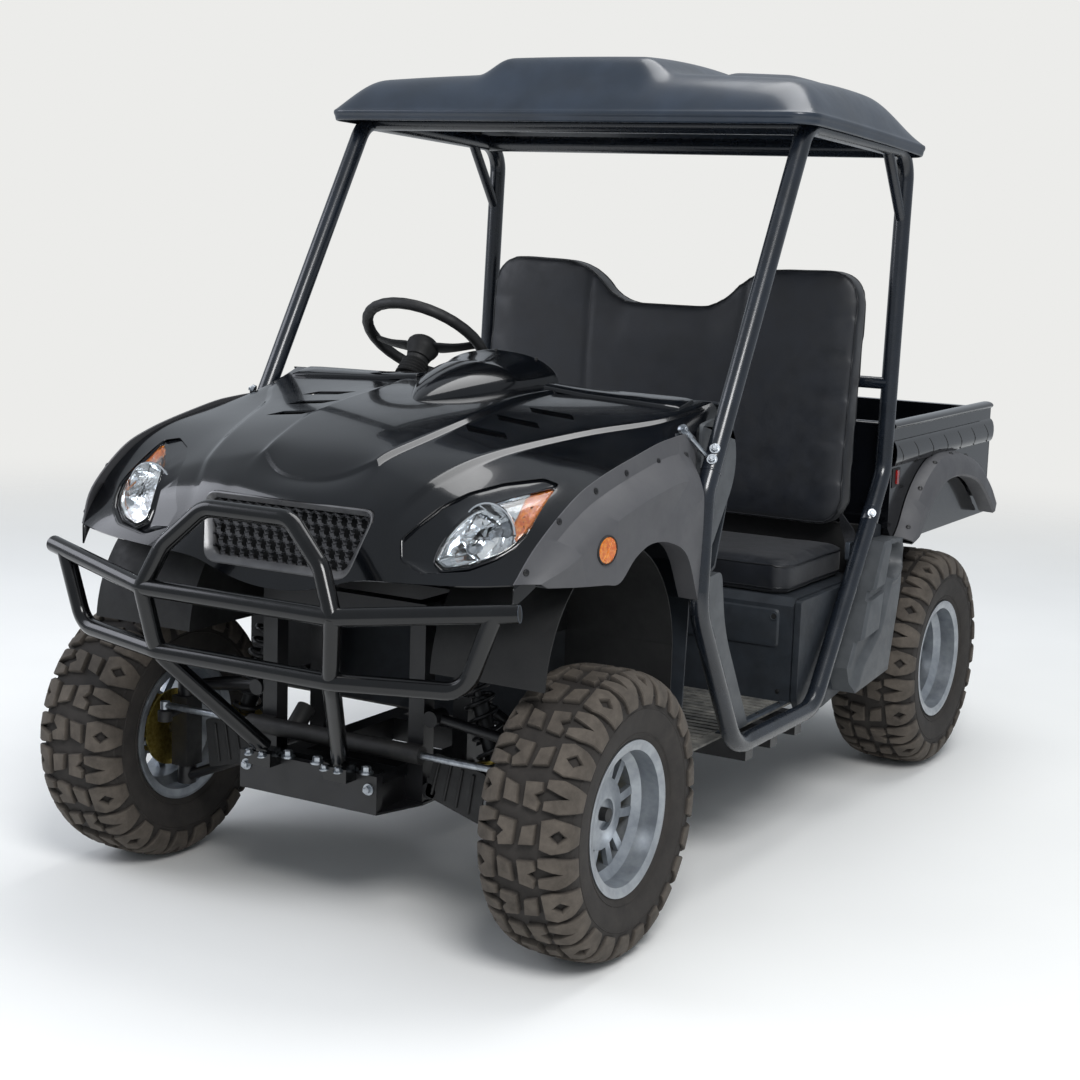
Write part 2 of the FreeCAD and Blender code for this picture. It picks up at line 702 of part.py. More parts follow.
def floor_pan():
    wall = dim("floor_wall")
    body = new_body("floor_pan")
    base = sketch_on(body, "XY_Plane", "FloorOutline", rail_top)
    half = dim("cabin_half")
    draw_outline(base, [(-half, dim("footwell_y") - wall), (half, dim("footwell_y") - wall),
                        (half, behind("seat_box_y") + 30), (-half, behind("seat_box_y") + 30)])
    pad(body, base, "Dims.floor_wall", "FloorPlate")
    return body


# Seat box: hollow base that carries the cushion, open behind and below

def seat_base():
    wall = dim("floor_wall")
    half = dim("cabin_half")
    floor = rail_top + wall
    front = behind("seat_box_y")
    rear = behind("seat_box_rear_y")
    top = dim("seat_box_top")
    body = new_body("seat_base")
    base = sketch_on(body, "YZ_Plane", "SeatBoxSide", -half)
    draw_outline(base, [(front, floor), (front, top - 20), (front + 20, top), (rear, top),
                        (rear, floor)])
    pad(body, base, "2 * Dims.cabin_half", "SeatBoxWidth")
    doc.recompute()
    room = sketch_on(body, "YZ_Plane", "SeatBoxRoom", -half + wall)
    draw_outline(room, [(front + wall, floor - 1), (front + wall, top - 22),
                        (front + 22, top - wall), (rear - wall, top - wall), (rear - wall, floor - 1)])
    pocket(body, room, "2 * (Dims.cabin_half - Dims.floor_wall)", "SeatBoxHollow", True)
    return body


def battery_pack():
    body = new_body("battery_pack")
    base = sketch_on(body, "XY_Plane", "BatteryOutline", rail_top)
    half = dim("cabin_half") - 272
    front = behind("seat_box_y") + 75
    rear = behind("seat_box_rear_y") - 105
    draw_outline(base, [(-half, front), (half, front), (half, rear), (-half, rear)])
    pad(body, base, "230 mm", "BatteryBlock")
    return body


def seat_cushion():
    gap = dim("soft_gap")
    half = dim("seat_half")
    body = new_body("seat_cushion")
    z = dim("seat_box_top") + gap
    base = sketch_on(body, "XY_Plane", "CushionOutline", z)
    front = behind("seat_box_y") + 5
    rear = behind("cushion_rear_y")
    draw_outline(base, [(-half + 40, front), (half - 40, front), (half, front + 40), (half, rear),
                        (-half, rear), (-half, front + 40)])
    pad(body, base, "Dims.cushion_depth", "CushionPad")
    return body


# Seat back: two humps with a saddle between, leaning back

def seat_back():
    half = dim("seat_half")
    low = dim("back_bottom")
    top = dim("back_top")
    saddle = dim("back_saddle")
    body = new_body("seat_back")
    base = sketch_on(body, "XZ_Plane", "BackOutline", 0)
    height = top - low
    dip = saddle - low
    draw_outline(base, [
        (-half + 60, 0), (half - 60, 0, half - 18, 18), (half, 60), (half, height - 90,
        half - 26, height - 26), (half - 90, height), (320, height, 258, height - 22),
        (222, height - 70, 190, dip + 10), (130, dip), (-130, dip, -190, dip + 10),
        (-222, height - 70, -258, height - 22), (-320, height), (-half + 90, height,
        -half + 26, height - 26), (-half, height - 90), (-half, 60, -half + 18, 18)])
    pad(body, base, "Dims.back_thickness", "BackPad", True)
    lean = math.degrees(math.atan2(behind("back_head_y") - behind("back_foot_y"), height))
    body.Placement = FreeCAD.Placement(V(0, behind("back_foot_y"), low),
                                       FreeCAD.Rotation(V(1, 0, 0), -lean))
    return body


# Roll cage

def roll_cage():
    size = dim("cage_tube")
    top_half = dim("cage_top_half")
    hoops = both(tube(hoop_route(), HOOP_BENDS, size))
    cross = []
    lean = math.atan2(behind("back_head_y") - behind("back_foot_y"), dim("back_top") - dim("back_bottom"))
    bar_z = 1130
    bar_reach = dim("back_thickness") + 16 + dim("soft_gap") + math.sin(lean) * (bar_z - dim("back_bottom"))
    bar_y = behind("back_foot_y") + bar_reach / math.cos(lean)
    for y, z, diameter in ((dim("cage_top_front_y") + 36, dim("cage_top_front_z") - 1, size),
                           (behind("cage_top_rear_y") - 60, dim("cage_top_rear_z") + 2, size),
                           (bar_y, bar_z, 32)):
        cross.append(rod((-top_half, y, z), (top_half, y, z), diameter / 2))
    rear = behind("cage_top_rear_y")
    brace_z = dim("cage_top_rear_z")
    braces = both(rod((top_half, rear - 150, brace_z + 8), (top_half, rear - 14, brace_z - 184),
                      dim("brace_tube") / 2))
    return shape_part("roll_cage", fuse(hoops + cross + braces))


# Side step tubes from the front coupler, under the door opening, up to the rear coupler

def side_steps():
    shape = tube(step_route(), STEP_BENDS, dim("cage_tube"))
    return shape_part("side_steps", Part.makeCompound(both(shape)))


# Roof sections: share of the roof's length from its front lip, lip z, shoulder in from the lip,
# shoulder z, crown z
ROOF_SECTIONS = (
    (0.0, 1806, 130, 1832, 1838),
    (0.1174, 1804, 100, 1868, 1912),
    (0.3647, 1797, 94, 1880, 1936),
    (0.7726, 1775, 100, 1862, 1916),
    (1.0, 1756, 130, 1790, 1798),
)


def roof_half():
    return dim("cage_top_half") + dim("roof_side")


def roof_y(share):
    """Place along Y at a share of the roof's length."""
    front = dim("cage_top_front_y") - dim("roof_front")
    rear = behind("cage_top_rear_y") + dim("roof_rear")
    return front + share * (rear - front)


def roof_form(inset, drop):
    wires = []
    last = len(ROOF_SECTIONS) - 1
    for index, (share, lip, shoulder, z_top, crown) in enumerate(ROOF_SECTIONS):
        shift = inset if index == 0 else -inset if index == last else 0
        x_lip = roof_half() - inset
        x_top = roof_half() - shoulder
        at = roof_y(share) + shift
        wires.append(closed_wire([
            (x_lip, at, lip - 26 - drop), (x_lip, at, lip), (x_top - inset, at, z_top - inset),
            ((x_top - 60, at, z_top + 5 - inset), (0, at, crown - inset)),
            (-x_top + 60, at, z_top + 5 - inset), (-x_top + inset, at, z_top - inset),
            (-x_lip, at, lip), (-x_lip, at, lip - 26 - drop)]))
    return Part.makeLoft(wires, True, True)


def roof():
    wall = dim("roof_wall")
    shell = roof_form(0, 0)
    crown = dim("roof_top")
    ridge = Part.makeLoft([closed_wire([
        (-x, roof_y(share), crown - 95), (x, roof_y(share), crown - 95), (x - 18, roof_y(share), z),
        (-x + 18, roof_y(share), z)])
        for x, share, z in ((238, 0.142, crown - 55), (250, 0.3276, crown), (262, 0.698, crown - 13),
                            (262, 0.834, crown - 45))], True, True)
    form = shell.fuse(ridge)
    room = roof_form(wall, 60)
    form = form.cut(room)
    seat = tube(hoop_route(), HOOP_BENDS, dim("cage_tube") + 2 * dim("soft_gap"))
    x = dim("cage_top_half")
    pads = []
    rail_low = dim("cage_top_rear_z")
    for y in (roof_y(0.278), roof_y(0.785)):
        pads.append(block((x - 18, x + 18), (y - 35, y + 35), (rail_low + 6, dim("roof_top"))).common(room)
                    .cut(seat))
    pads = [max(piece.Solids, key=lambda solid: solid.CenterOfMass.z) for piece in pads]
    pads += [mirrored(piece) for piece in pads]
    return shape_part("roof", fuse([form] + pads))


# Rear quarter panels between the seat box and the rear wheels, (y from the rear axle, z)
SIDE_PANEL_BACK = ((-834, 300), (-698, 296), (-389, 345), (-370, 420), (-318, 600), (-302, 700),
                   (-340, 760), (-490, 742), (-870, 606), (-870, 345))
SIDE_PANEL_FACE = ((-630, 330), (-395, 352), (-374, 430), (-330, 590), (-312, 690), (-370, 716),
                   (-450, 690), (-590, 520), (-660, 400))


def side_panels():
    wall = dim("body_wall")
    gap = dim("cover_gap") + 1
    x_in = dim("cabin_half") + 1
    x_out = dim("step_half") + 43
    back = [(rear_axle_y + y, z) for y, z in SIDE_PANEL_BACK]
    front = [(rear_axle_y + y, z) for y, z in SIDE_PANEL_FACE]
    plate = side_prism(back, x_in, x_in + 20)
    face = side_prism(front, x_in, x_out)
    inner = side_prism([(y + 4 if y < rear_axle_y - 480 else y - 5, z + 5 if z < 500 else z - 6)
                        for y, z in front], x_in - 5, x_out - wall)
    panel = plate.fuse(face).cut(inner)
    panel = panel.cut(tube(hoop_route(), HOOP_BENDS, dim("cage_tube") + 1))
    panel = panel.cut(tube(step_route(), STEP_BENDS, dim("cage_tube") + 1))
    panel = panel.cut(block((0, dim("bed_half") + dim("bed_bulge") + gap),
                            (behind("bed_front_y") - gap, rear_axle_y), (dim("bed_bottom") - gap, 1000)))
    return shape_part("side_panels", Part.makeCompound(both(panel)))


# Front suspension

def front_arms():
    z_low = axle_z - dim("upright_size") / 2
    z_high = axle_z + dim("upright_size") / 2
    x_ball = dim("kingpin_x")
    x_frame = dim("tower_half") + dim("member") / 2
    arms = []
    for z_ball, z_frame, side_z, reach in ((z_low, rail_top - 25, -1, 31), (z_high, 470, 1, 22)):
        ball = (x_ball, front_axle_y, z_ball + side_z * reach)
        pieces = [rod((x_ball, front_axle_y, z_ball + side_z * 0.3),
                      (x_ball, front_axle_y, z_ball + side_z * (reach + 14)), 22)]
        for y in (dim("tower_front_y"), dim("tower_rear_y")):
            pieces.append(rod(ball, (x_frame + 18.3, y, z_frame), 12))
            pieces.append(rod((x_frame + 18.3, y - 24, z_frame), (x_frame + 18.3, y + 24, z_frame), 18))
        if side_z < 0:
            plate_z = shock_foot()[2] - SHOCK_EYE - dim("soft_gap")
            x = shock_foot()[0]
            y = shock_foot()[1]
            pieces.append(block((x - 22, x + 22), (y - 50, y + 46), (plate_z - 12, plate_z)))
        arms.append(fuse(pieces))
    return shape_part("front_arms", Part.makeCompound(arms + [mirrored(arm) for arm in arms]))


SHOCK_EYE = 16


def shock_foot():
    return (372, front_axle_y + 22, axle_z - 24)


def shock(bottom, top, coil_radius, body_radius):
    """Coil over damper between two eyes."""
    run = V(*top) - V(*bottom)
    unit = V(run).normalize()
    length = run.Length
    start = V(*bottom)
    coil_from = start + unit * (length * 0.22)
    coil_to = start + unit * (length * 0.9)
    eyes = [rod((x, y - 20, z), (x, y + 20, z), SHOCK_EYE) for x, y, z in (bottom, top)]
    pieces = eyes + [
        Part.makeCylinder(body_radius, length, start, unit),
        Part.makeCylinder(coil_radius, 8, coil_from, unit),
        Part.makeCylinder(coil_radius, 8, coil_to, unit),
        Part.makeCylinder(coil_radius - 8, (coil_to - coil_from).Length, coil_from, unit)]
    return fuse(pieces)


def front_shocks():
    x_top = dim("tower_half") + dim("member") / 2 + SHOCK_EYE + dim("soft_gap")
    shape = shock(shock_foot(), (x_top, shock_foot()[1], dim("tower_top") - 20), 38, 14)
    return shape_part("front_shocks", Part.makeCompound(both(shape)))


def rear_axle():
    gap = dim("cover_gap")
    inner = dim("rear_track") / 2 - 66 - gap
    tube_body = rod((-inner, rear_axle_y, axle_z), (inner, rear_axle_y, axle_z), 36)
    housing = rod((0, rear_axle_y - 62, axle_z), (0, rear_axle_y + 62, axle_z), 96)
    cover = rod((0, rear_axle_y + 55, axle_z), (0, rear_axle_y + 108, axle_z), 78)
    case = block((-70, 44), (rear_axle_y - 160, rear_axle_y - 50), (axle_z - 72, axle_z + 84))
    motor = rod((-40, rear_axle_y - 118, axle_z + 12), (-300, rear_axle_y - 118, axle_z + 12), 66)
    spindles = both(rod((inner - 10, rear_axle_y, axle_z), (dim("rear_track") / 2 + 4, rear_axle_y, axle_z),
                        dim("spindle_radius")))
    return shape_part("rear_axle", fuse([tube_body, housing, cover, motor, case] + spindles))


def rear_arms():
    x = 330
    rail_side = dim("rail_half") + dim("rail_width") / 2
    pivot_y = rear_axle_y - 430
    arm = tube([(x, rear_axle_y, axle_z - 54), (x, rear_axle_y - 180, axle_z - 40),
                (rail_side + 20, pivot_y, rail_top - 25)], [120], 34)
    bracket = block((x - 25, x + 25), (rear_axle_y - 34, rear_axle_y + 34), (axle_z - 62, axle_z - 36.3))
    boss = rod((rail_side, pivot_y, rail_top - 25), (rail_side + 44, pivot_y, rail_top - 25), 24)
    arm = fuse([arm, bracket, boss])
    return shape_part("rear_arms", Part.makeCompound(both(arm)))


def rear_shocks():
    x_top = dim("rail_half") + dim("rail_width") / 2 + SHOCK_EYE + dim("soft_gap")
    shape = shock((330, rear_axle_y, axle_z + 36 + SHOCK_EYE + dim("soft_gap")),
                  (x_top, rear_axle_y - 60, 618), 42, 14)
    return shape_part("rear_shocks", Part.makeCompound(both(shape)))


# Steered knuckles: upright, spindle and steering arm

ARM_X = -18
ARM_Y = -100
ARM_Z = 56


def knuckles():
    half = dim("upright_size") / 2
    for side, word in SIDES:
        x = dim("kingpin_x")
        upright = block((x - 22, x + 24), (front_axle_y - 28, front_axle_y + 28),
                        (axle_z - half, axle_z + half))
        spindle = rod((x, front_axle_y, axle_z), (dim("front_track") / 2 + 44, front_axle_y, axle_z),
                      dim("spindle_radius"))
        eye_x = x + ARM_X
        eye_y = front_axle_y + ARM_Y
        arm = rod((x, front_axle_y, axle_z + ARM_Z), (eye_x, eye_y, axle_z + ARM_Z), 10)
        eye = rod((eye_x, eye_y, axle_z + ARM_Z - 12), (eye_x, eye_y, axle_z + ARM_Z + 12), 17)
        shape = fuse([upright, spindle, arm, eye])
        shape_part("knuckle_" + word, shape if side == LEFT else mirrored(shape))


# Sliding rack with its tie rods, and the fixed housing and column

RACK_RADIUS = 8


def rack_z():
    return axle_z + ARM_Z + 12 + dim("cover_gap") + 9


def steering_rack():
    y = front_axle_y + ARM_Y
    z = rack_z()
    x_end = dim("kingpin_x") + ARM_X
    bar = rod((-x_end, y, z), (x_end, y, z), RACK_RADIUS)
    eyes = [rod((s * x_end, y, z - 9), (s * x_end, y, z + 9), 11) for s in (LEFT, RIGHT)]
    return shape_part("steering_rack", fuse([bar] + eyes))


def steering_gear():
    y = front_axle_y + ARM_Y
    z = rack_z()
    bore = rod((-300, y, z), (300, y, z), RACK_RADIUS + dim("spindle_play"))
    pinion = rod((-120, y + 14, z), (-120, y + 58, z + 40), 22)
    post_face = dim("tower_front_y") - dim("member") / 2
    pieces = [rod((-235, y, z), (235, y, z), 20), pinion]
    for side in (LEFT, RIGHT):
        x = side * dim("tower_half")
        pieces.append(block((x - 20, x + 20), (y, post_face), (z - 16, z + 16)))
    return shape_part("steering_gear", fuse(pieces).cut(bore))


def steering_column():
    axis = wheel_axis()
    centre = V(dim("wheel_x"), dim("wheel_y"), dim("wheel_z"))
    top = centre - axis * (58 + dim("soft_gap"))
    return shape_part("steering_column",
                      Part.makeCylinder(dim("column_radius"), 150, top - axis * 150, axis))


def steering_wheel():
    rim = dim("wheel_half")
    grip = dim("wheel_grip")
    body = new_body("steering_wheel")
    section = sketch_on(body, "XZ_Plane", "RimSection", 0)
    draw_circle(section, (rim - grip, 0), grip, "Dims.wheel_grip")
    spin(body, section, "Z_Axis", "RimRing")
    doc.recompute()
    hub = sketch_on(body, "XY_Plane", "HubOutline", -58)
    draw_circle(hub, (0, 0), 42)
    pad(body, hub, "46 mm", "HubBoss")
    doc.recompute()
    spokes = sketch_on(body, "XY_Plane", "SpokeOutline", -22)
    reach = rim - grip
    draw_outline(spokes, [(-reach, -22), (reach, -22), (reach, 14), (-reach, 14)])
    pad(body, spokes, "14 mm", "Spokes")
    body.Placement = FreeCAD.Placement(
        V(dim("wheel_x"), dim("wheel_y"), dim("wheel_z")),
        FreeCAD.Rotation(V(1, 0, 0), -dim("wheel_tilt")))
    return body


# Wheels: rim and tyre turned about X, with the outside towards +X

def wheel_places():
    front = dim("front_track") / 2
    rear = dim("rear_track") / 2
    return (("front_left", LEFT, front, front_axle_y), ("front_right", RIGHT, front, front_axle_y),
            ("rear_left", LEFT, rear, rear_axle_y), ("rear_right", RIGHT, rear, rear_axle_y))


def wheel_placement(side, x, y):
    turn = 0 if side == LEFT else 180
    return FreeCAD.Placement(V(side * x, y, axle_z), FreeCAD.Rotation(V(0, 0, 1), turn))


def rim_part(name, side, x, y, width, dish):
    """Barrel, spoked face and hub; dish is the face's distance out from the centre plane."""
    wall = dim("rim_wall")
    half = width / 2
    lip = dim("rim_radius")
    seat = dim("bead_radius")
    drop = seat - 20
    face = 12
    body = new_body("rim_" + name)
    barrel = sketch_on(body, "XZ_Plane", "Barrel")
    draw_outline(barrel, [
        (-half, lip), (-half + 7, lip), (-half + 9, seat), (-half + 45, seat - 2), (-half + 60, drop),
        (half - 60, drop), (half - 45, seat - 2), (half - 9, seat), (half - 7, lip), (half, lip),
        (half, lip - wall), (half - 4, seat - wall), (half - 46, seat - 2 - wall), (half - 62, drop - wall),
        (-half + 62, drop - wall), (-half + 46, seat - 2 - wall), (-half + 4, seat - wall),
        (-half, lip - wall)])
    spin(body, barrel, "X_Axis", "BarrelTurned")
    doc.recompute()
    disc = sketch_on(body, "XZ_Plane", "Disc")
    bore = dim("spindle_radius") + dim("spindle_play")
    draw_outline(disc, [(dish - face, bore), (dish - face, 78), (dish, 78), (dish + 6, 40),
                        (dish + 6, 34), (dish - 4, 34), (dish - 4, bore)])
    spin(body, disc, "X_Axis", "DiscTurned")
    doc.recompute()
    spokes = sketch_on(body, "YZ_Plane", "TwinSpoke", dish - face)
    reach = drop - wall / 2
    draw_outline(spokes, [(66, 6), (reach - 2, 14), (reach - 6, 34), (60, 24)])
    first = pad(body, spokes, "12 mm", "SpokeOne")
    doc.recompute()
    mate = sketch_on(body, "YZ_Plane", "TwinMate", dish - face)
    draw_outline(mate, [(66, -6), (60, -24), (reach - 6, -34), (reach - 2, -14)])
    second = pad(body, mate, "12 mm", "SpokeTwo")
    doc.recompute()
    ring_pattern(body, [first, second], "X_Axis", "Dims.spoke_pairs", "SpokeRing")
    body.Placement = wheel_placement(side, x, y)
    return body


def tyre_lugs(half, crown):
    """Shoulder blocks that wrap onto the sidewall and slanted centre bars, corners at the crown radius."""
    depth = dim("tread_depth")
    count = int(dim("tread_pitches"))
    step = 360.0 / count
    lugs = []
    for length, at, with_bar in ((56, 0.0, True), (48, 0.5, False)):
        top = math.sqrt(crown ** 2 - length ** 2 / 4)
        corner = math.degrees(math.asin(length / 2 / crown)) if with_bar else 0
        shoulder = ((half - 62, top - depth - 8), (half - 62, top), (half - 31, top - 3),
                    (half, top - 50), (half - 3, top - 62), (half - 16, top - 66),
                    (half - 38, top - depth - 22))
        profile = Part.Face(closed_wire([(x, -length / 2, z) for x, z in shoulder]))
        pieces = [(profile.extrude(V(0, length, 0)), 0.0)]
        if with_bar:
            bar_top = math.sqrt(crown ** 2 - 24 ** 2)
            outline = ((5, -18), (46, -24), (46, 14), (5, 20))
            bar = Part.Face(closed_wire([(x, y, bar_top - depth - 8) for x, y in outline]))
            pieces.append((bar.extrude(V(0, 0, depth + 8)), 0.27))
        for k in range(count):
            for solid, phase in pieces:
                left = solid.copy()
                left.rotate(V(0, 0, 0), V(1, 0, 0), corner + step * (k + at + phase))
                right = mirrored(solid)
                right.rotate(V(0, 0, 0), V(1, 0, 0), corner + step * (k + at + phase + 0.25))
                lugs += [left, right]
    return lugs


def tyre_shape(label, width, rim_width):
    """Carcass turned from its section, with its lugs fused on."""
    body = doc.addObject("PartDesign::Body", label)
    half = width / 2
    bead = rim_width / 2 - 9.3
    seat = dim("bead_radius") + 0.3
    crown = dim("tyre_radius")
    base = crown - dim("tread_depth")
    middle = (seat + crown - 14) / 2 - 4
    section = sketch_on(body, "XZ_Plane", "TyreSection")
    draw_outline(section, [
        (-bead, seat), (-bead, seat + 20, -half + 9, middle - 14), (-half + 9, base - 60),
        (-half + 19, base - 24), (-half + 34, base - 10), (-half + 64, base), (half - 64, base),
        (half - 34, base - 10), (half - 19, base - 24), (half - 9, base - 60, half - 9, middle - 14),
        (bead, seat + 20), (bead, seat), (bead - 14, seat), (bead - 12, seat + 24,
        half - 20, middle), (half - 34, base - 30), (half - 60, base - 12), (-half + 60, base - 12),
        (-half + 34, base - 30, -half + 20, middle), (-bead + 12, seat + 24), (-bead + 14, seat)])
    spin(body, section, "X_Axis", "TyreTurned")
    doc.recompute()
    return body.Shape.fuse(tyre_lugs(half, crown))


def front_hub(name, side, x, y):
    """Hub barrel, flange and brake disc that turn with a front wheel."""
    body = new_body("hub_" + name)
    profile = sketch_on(body, "XZ_Plane", "HubProfile")
    bore = dim("spindle_radius") + dim("spindle_play")
    draw_outline(profile, [(-50, bore), (-50, 92), (-45, 92), (-45, 34), (7, 34), (7, 70),
                           (19, 70), (19, bore)])
    spin(body, profile, "X_Axis", "HubTurned")
    body.Placement = wheel_placement(side, x, y)
    return body


def rear_hub(name, side, x, y):
    """Brake drum that turns with a rear wheel."""
    body = new_body("hub_" + name)
    profile = sketch_on(body, "XZ_Plane", "DrumProfile")
    bore = dim("spindle_radius") + dim("spindle_play")
    draw_outline(profile, [(-66, bore), (-66, 96), (-12, 100), (-12, 60), (-2, 60), (-2, bore)])
    spin(body, profile, "X_Axis", "DrumTurned")
    body.Placement = wheel_placement(side, x, y)
    return body


def wheels():
    tyres = {
        "front": tyre_shape("front_tyre", dim("front_tyre_width"), dim("front_rim_width")),
        "rear": tyre_shape("rear_tyre", dim("rear_tyre_width"), dim("rear_rim_width"))}
    for name, side, x, y in wheel_places():
        front = name.startswith("front")
        rim_width = dim("front_rim_width") if front else dim("rear_rim_width")
        dish = 31 if front else 10
        rim_part(name, side, x, y, rim_width, dish)
        tyre = shape_part("tyre_" + name, tyres["front" if front else "rear"])
        tyre.Placement = wheel_placement(side, x, y)
        if front:
            front_hub(name, side, x, y)
        else:
            rear_hub(name, side, x, y)


# Cargo bed: tray with rolled rails and a waist band

LUG_RADIUS = 12

def cargo_bed():
    half = dim("bed_half")
    wall = dim("bed_wall")
    front = behind("bed_front_y")
    rear = behind("bed_rear_y")
    low = dim("bed_bottom")
    top = dim("bed_top")
    floor = dim("bed_floor")
    outer = block((-half, half), (front, rear), (low, top))
    room = block((-half + wall, half - wall), (front + wall, rear + 10), (low + floor, top + 10))
    tray = outer.cut(room)
    bands = []
    for side in (LEFT, RIGHT):
        x = side * half
        out = side * dim("bed_bulge")
        bands.append(front_prism([(x - side, 905), (x + out, 918), (x + out, 952), (x - side, 966)],
                                 front + 4, rear))
    for side in (LEFT, RIGHT):
        cutter = side_prism([(front - 10, low - 10), (front + 60, low - 10), (front - 10, low + 60)],
                            side * half - 100, side * half + 100)
        tray = tray.cut(cutter)
    sills = both(block((dim("rail_half") - 60, dim("rail_half") - 40),
                       (front + 60, behind("bed_pivot_y") - 44), (dim("subframe_top") + 6, low)))
    lugs = []
    play = dim("spindle_play")
    y = behind("bed_pivot_y")
    z = dim("bed_pivot_z")
    for side in (LEFT, RIGHT):
        x = side * dim("rail_half")
        lug = rod((x - 5, y, z), (x + 5, y, z), LUG_RADIUS).fuse(
            block((x - 5, x + 5), (y - LUG_RADIUS, y + LUG_RADIUS), (z, low + 1)))
        lugs.append(lug.cut(rod((x - 30, y, z), (x + 30, y, z), dim("pin_radius") + play)))
    pins = []
    for side in (LEFT, RIGHT):
        x = side * (half - wall)
        pins.append(rod((x + side * 2, gate_pivot_y(), gate_pivot_z()),
                        (x - side * 22, gate_pivot_y(), gate_pivot_z()), dim("pin_radius")))
    shape = fuse([tray] + bands + lugs + sills + pins)
    return shape_part("cargo_bed", shape)


def gate_bar_radius():
    return dim("pin_radius") + 7


def gate_pivot_y():
    return behind("bed_rear_y") - 14


def gate_pivot_z():
    swing = math.hypot(behind("bed_rear_y") - gate_pivot_y(), gate_bar_radius())
    return dim("bed_bottom") + dim("bed_floor") + dim("tailgate_gap") + swing


def tailgate():
    wall = dim("tailgate_wall")
    gap = dim("tailgate_gap")
    half = dim("bed_half") - dim("bed_wall") - gap
    rear = behind("bed_rear_y")
    pivot_z = gate_pivot_z()
    pivot_y = gate_pivot_y()
    bar = gate_bar_radius()
    panel = block((-half, half), (rear - wall, rear), (pivot_z - bar, dim("bed_top") - 8))
    knuckle_bar = rod((-half, pivot_y, pivot_z), (half, pivot_y, pivot_z), bar)
    gate = fuse([panel, knuckle_bar])
    for side in (LEFT, RIGHT):
        x = side * half
        gate = gate.cut(rod((x + side, pivot_y, pivot_z), (x - side * 18, pivot_y, pivot_z),
                            dim("pin_radius") + dim("spindle_play")))
    return shape_part("tailgate", gate)


# Rear flares ride on the bed, (y from the rear axle, z) in the side view
REAR_FLARE = ((-290, 700), (-262, 712), (-210, 800), (-130, 866), (-30, 905), (170, 900), (310, 860),
              (410, 800), (473, 734), (435, 690), (370, 742), (250, 812), (120, 838),
              (-30, 832), (-140, 780), (-210, 712), (-240, 680), (-290, 680))


def rear_flares():
    shapes = []
    for side in (LEFT, RIGHT):
        half = dim("bed_half")
        outline = [(rear_axle_y + y, z) for y, z in REAR_FLARE]
        band = side_prism(outline, half + 0.3, half + 56)
        inner = side_prism([(y, z - 6) for y, z in outline[1:9]] +
                           [(rear_axle_y + 450, 640), (rear_axle_y - 230, 640)], half + 8, half + 50)
        band = band.cut(inner)
        shapes.append(band if side == LEFT else mirrored(band))
    return shape_part("rear_flares", Part.makeCompound(shapes))


def tail_lights():
    half = dim("bed_half")
    rear = behind("bed_rear_y")
    lamp = block((half - dim("bed_wall") + 3, half - 3), (rear, rear + 10), (780, 900))
    return shape_part("tail_lights", Part.makeCompound(both(lamp)))


chassis_frame()
skid_plate()
front_bumper()
hood()
grille()
headlights()
front_flares()
wheel_liners()
dash_panel()
floor_pan()
seat_base()
battery_pack()
seat_cushion()
seat_back()
roll_cage()
side_steps()
roof()
side_panels()
front_arms()
front_shocks()
rear_axle()
rear_arms()
rear_shocks()
knuckles()
steering_rack()
steering_gear()
steering_column()
steering_wheel()
wheels()
cargo_bed()
tailgate()
rear_flares()
tail_lights()
doc.recompute()

failed = [item.Label for item in doc.Objects if "Invalid" in item.State or "Error" in item.State]
failed += [item.Label for item in made if item.Shape.isNull() or not item.Shape.isValid()]
if failed:
    raise RuntimeError("failed: " + ", ".join(failed))
os.makedirs("parts", exist_ok=True)
for item in made:
    item.Shape.exportStep("parts/%s.step" % item.Label)
    print("%-22s solids %d volume %.0f" % (item.Label, len(item.Shape.Solids), item.Shape.Volume))
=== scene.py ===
import math
import bmesh
import bpy
from mathutils import Matrix, Vector
from mathutils.bvhtree import BVHTree


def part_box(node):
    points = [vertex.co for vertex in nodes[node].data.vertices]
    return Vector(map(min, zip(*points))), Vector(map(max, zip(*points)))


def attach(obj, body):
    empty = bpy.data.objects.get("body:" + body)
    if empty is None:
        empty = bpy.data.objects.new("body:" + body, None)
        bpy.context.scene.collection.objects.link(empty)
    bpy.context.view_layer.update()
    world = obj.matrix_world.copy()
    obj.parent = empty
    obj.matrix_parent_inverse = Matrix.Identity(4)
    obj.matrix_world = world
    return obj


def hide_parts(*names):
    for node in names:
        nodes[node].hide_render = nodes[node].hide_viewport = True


# Open two-seat side by side utility vehicle: front towards -Y, left towards +X, metres.

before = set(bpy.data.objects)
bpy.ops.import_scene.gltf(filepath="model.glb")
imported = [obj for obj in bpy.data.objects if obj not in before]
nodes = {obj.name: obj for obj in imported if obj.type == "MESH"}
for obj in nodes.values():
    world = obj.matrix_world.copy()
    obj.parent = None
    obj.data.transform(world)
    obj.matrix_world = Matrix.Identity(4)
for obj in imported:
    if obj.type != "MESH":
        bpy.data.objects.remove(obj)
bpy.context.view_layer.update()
scene = bpy.context.scene
scene.view_settings.view_transform = "Standard"

AXLE_Z = 312
FRONT_AXLE_Y = -975
REAR_AXLE_Y = 930
LEFT, RIGHT = 1, -1
SIDES = ((LEFT, "left"), (RIGHT, "right"))
AHEAD = Vector((0, -1, 0))


def mm(x, y, z):
    return Vector((x, y, z)) / 1000


# Finishes

def hex_colour(code):
    """sRGB hex to linear RGBA."""
    channels = [int(code[i:i + 2], 16) / 255 for i in (0, 2, 4)]
    return [c / 12.92 if c <= 0.04045 else ((c + 0.055) / 1.055) ** 2.4 for c in channels] + [1]


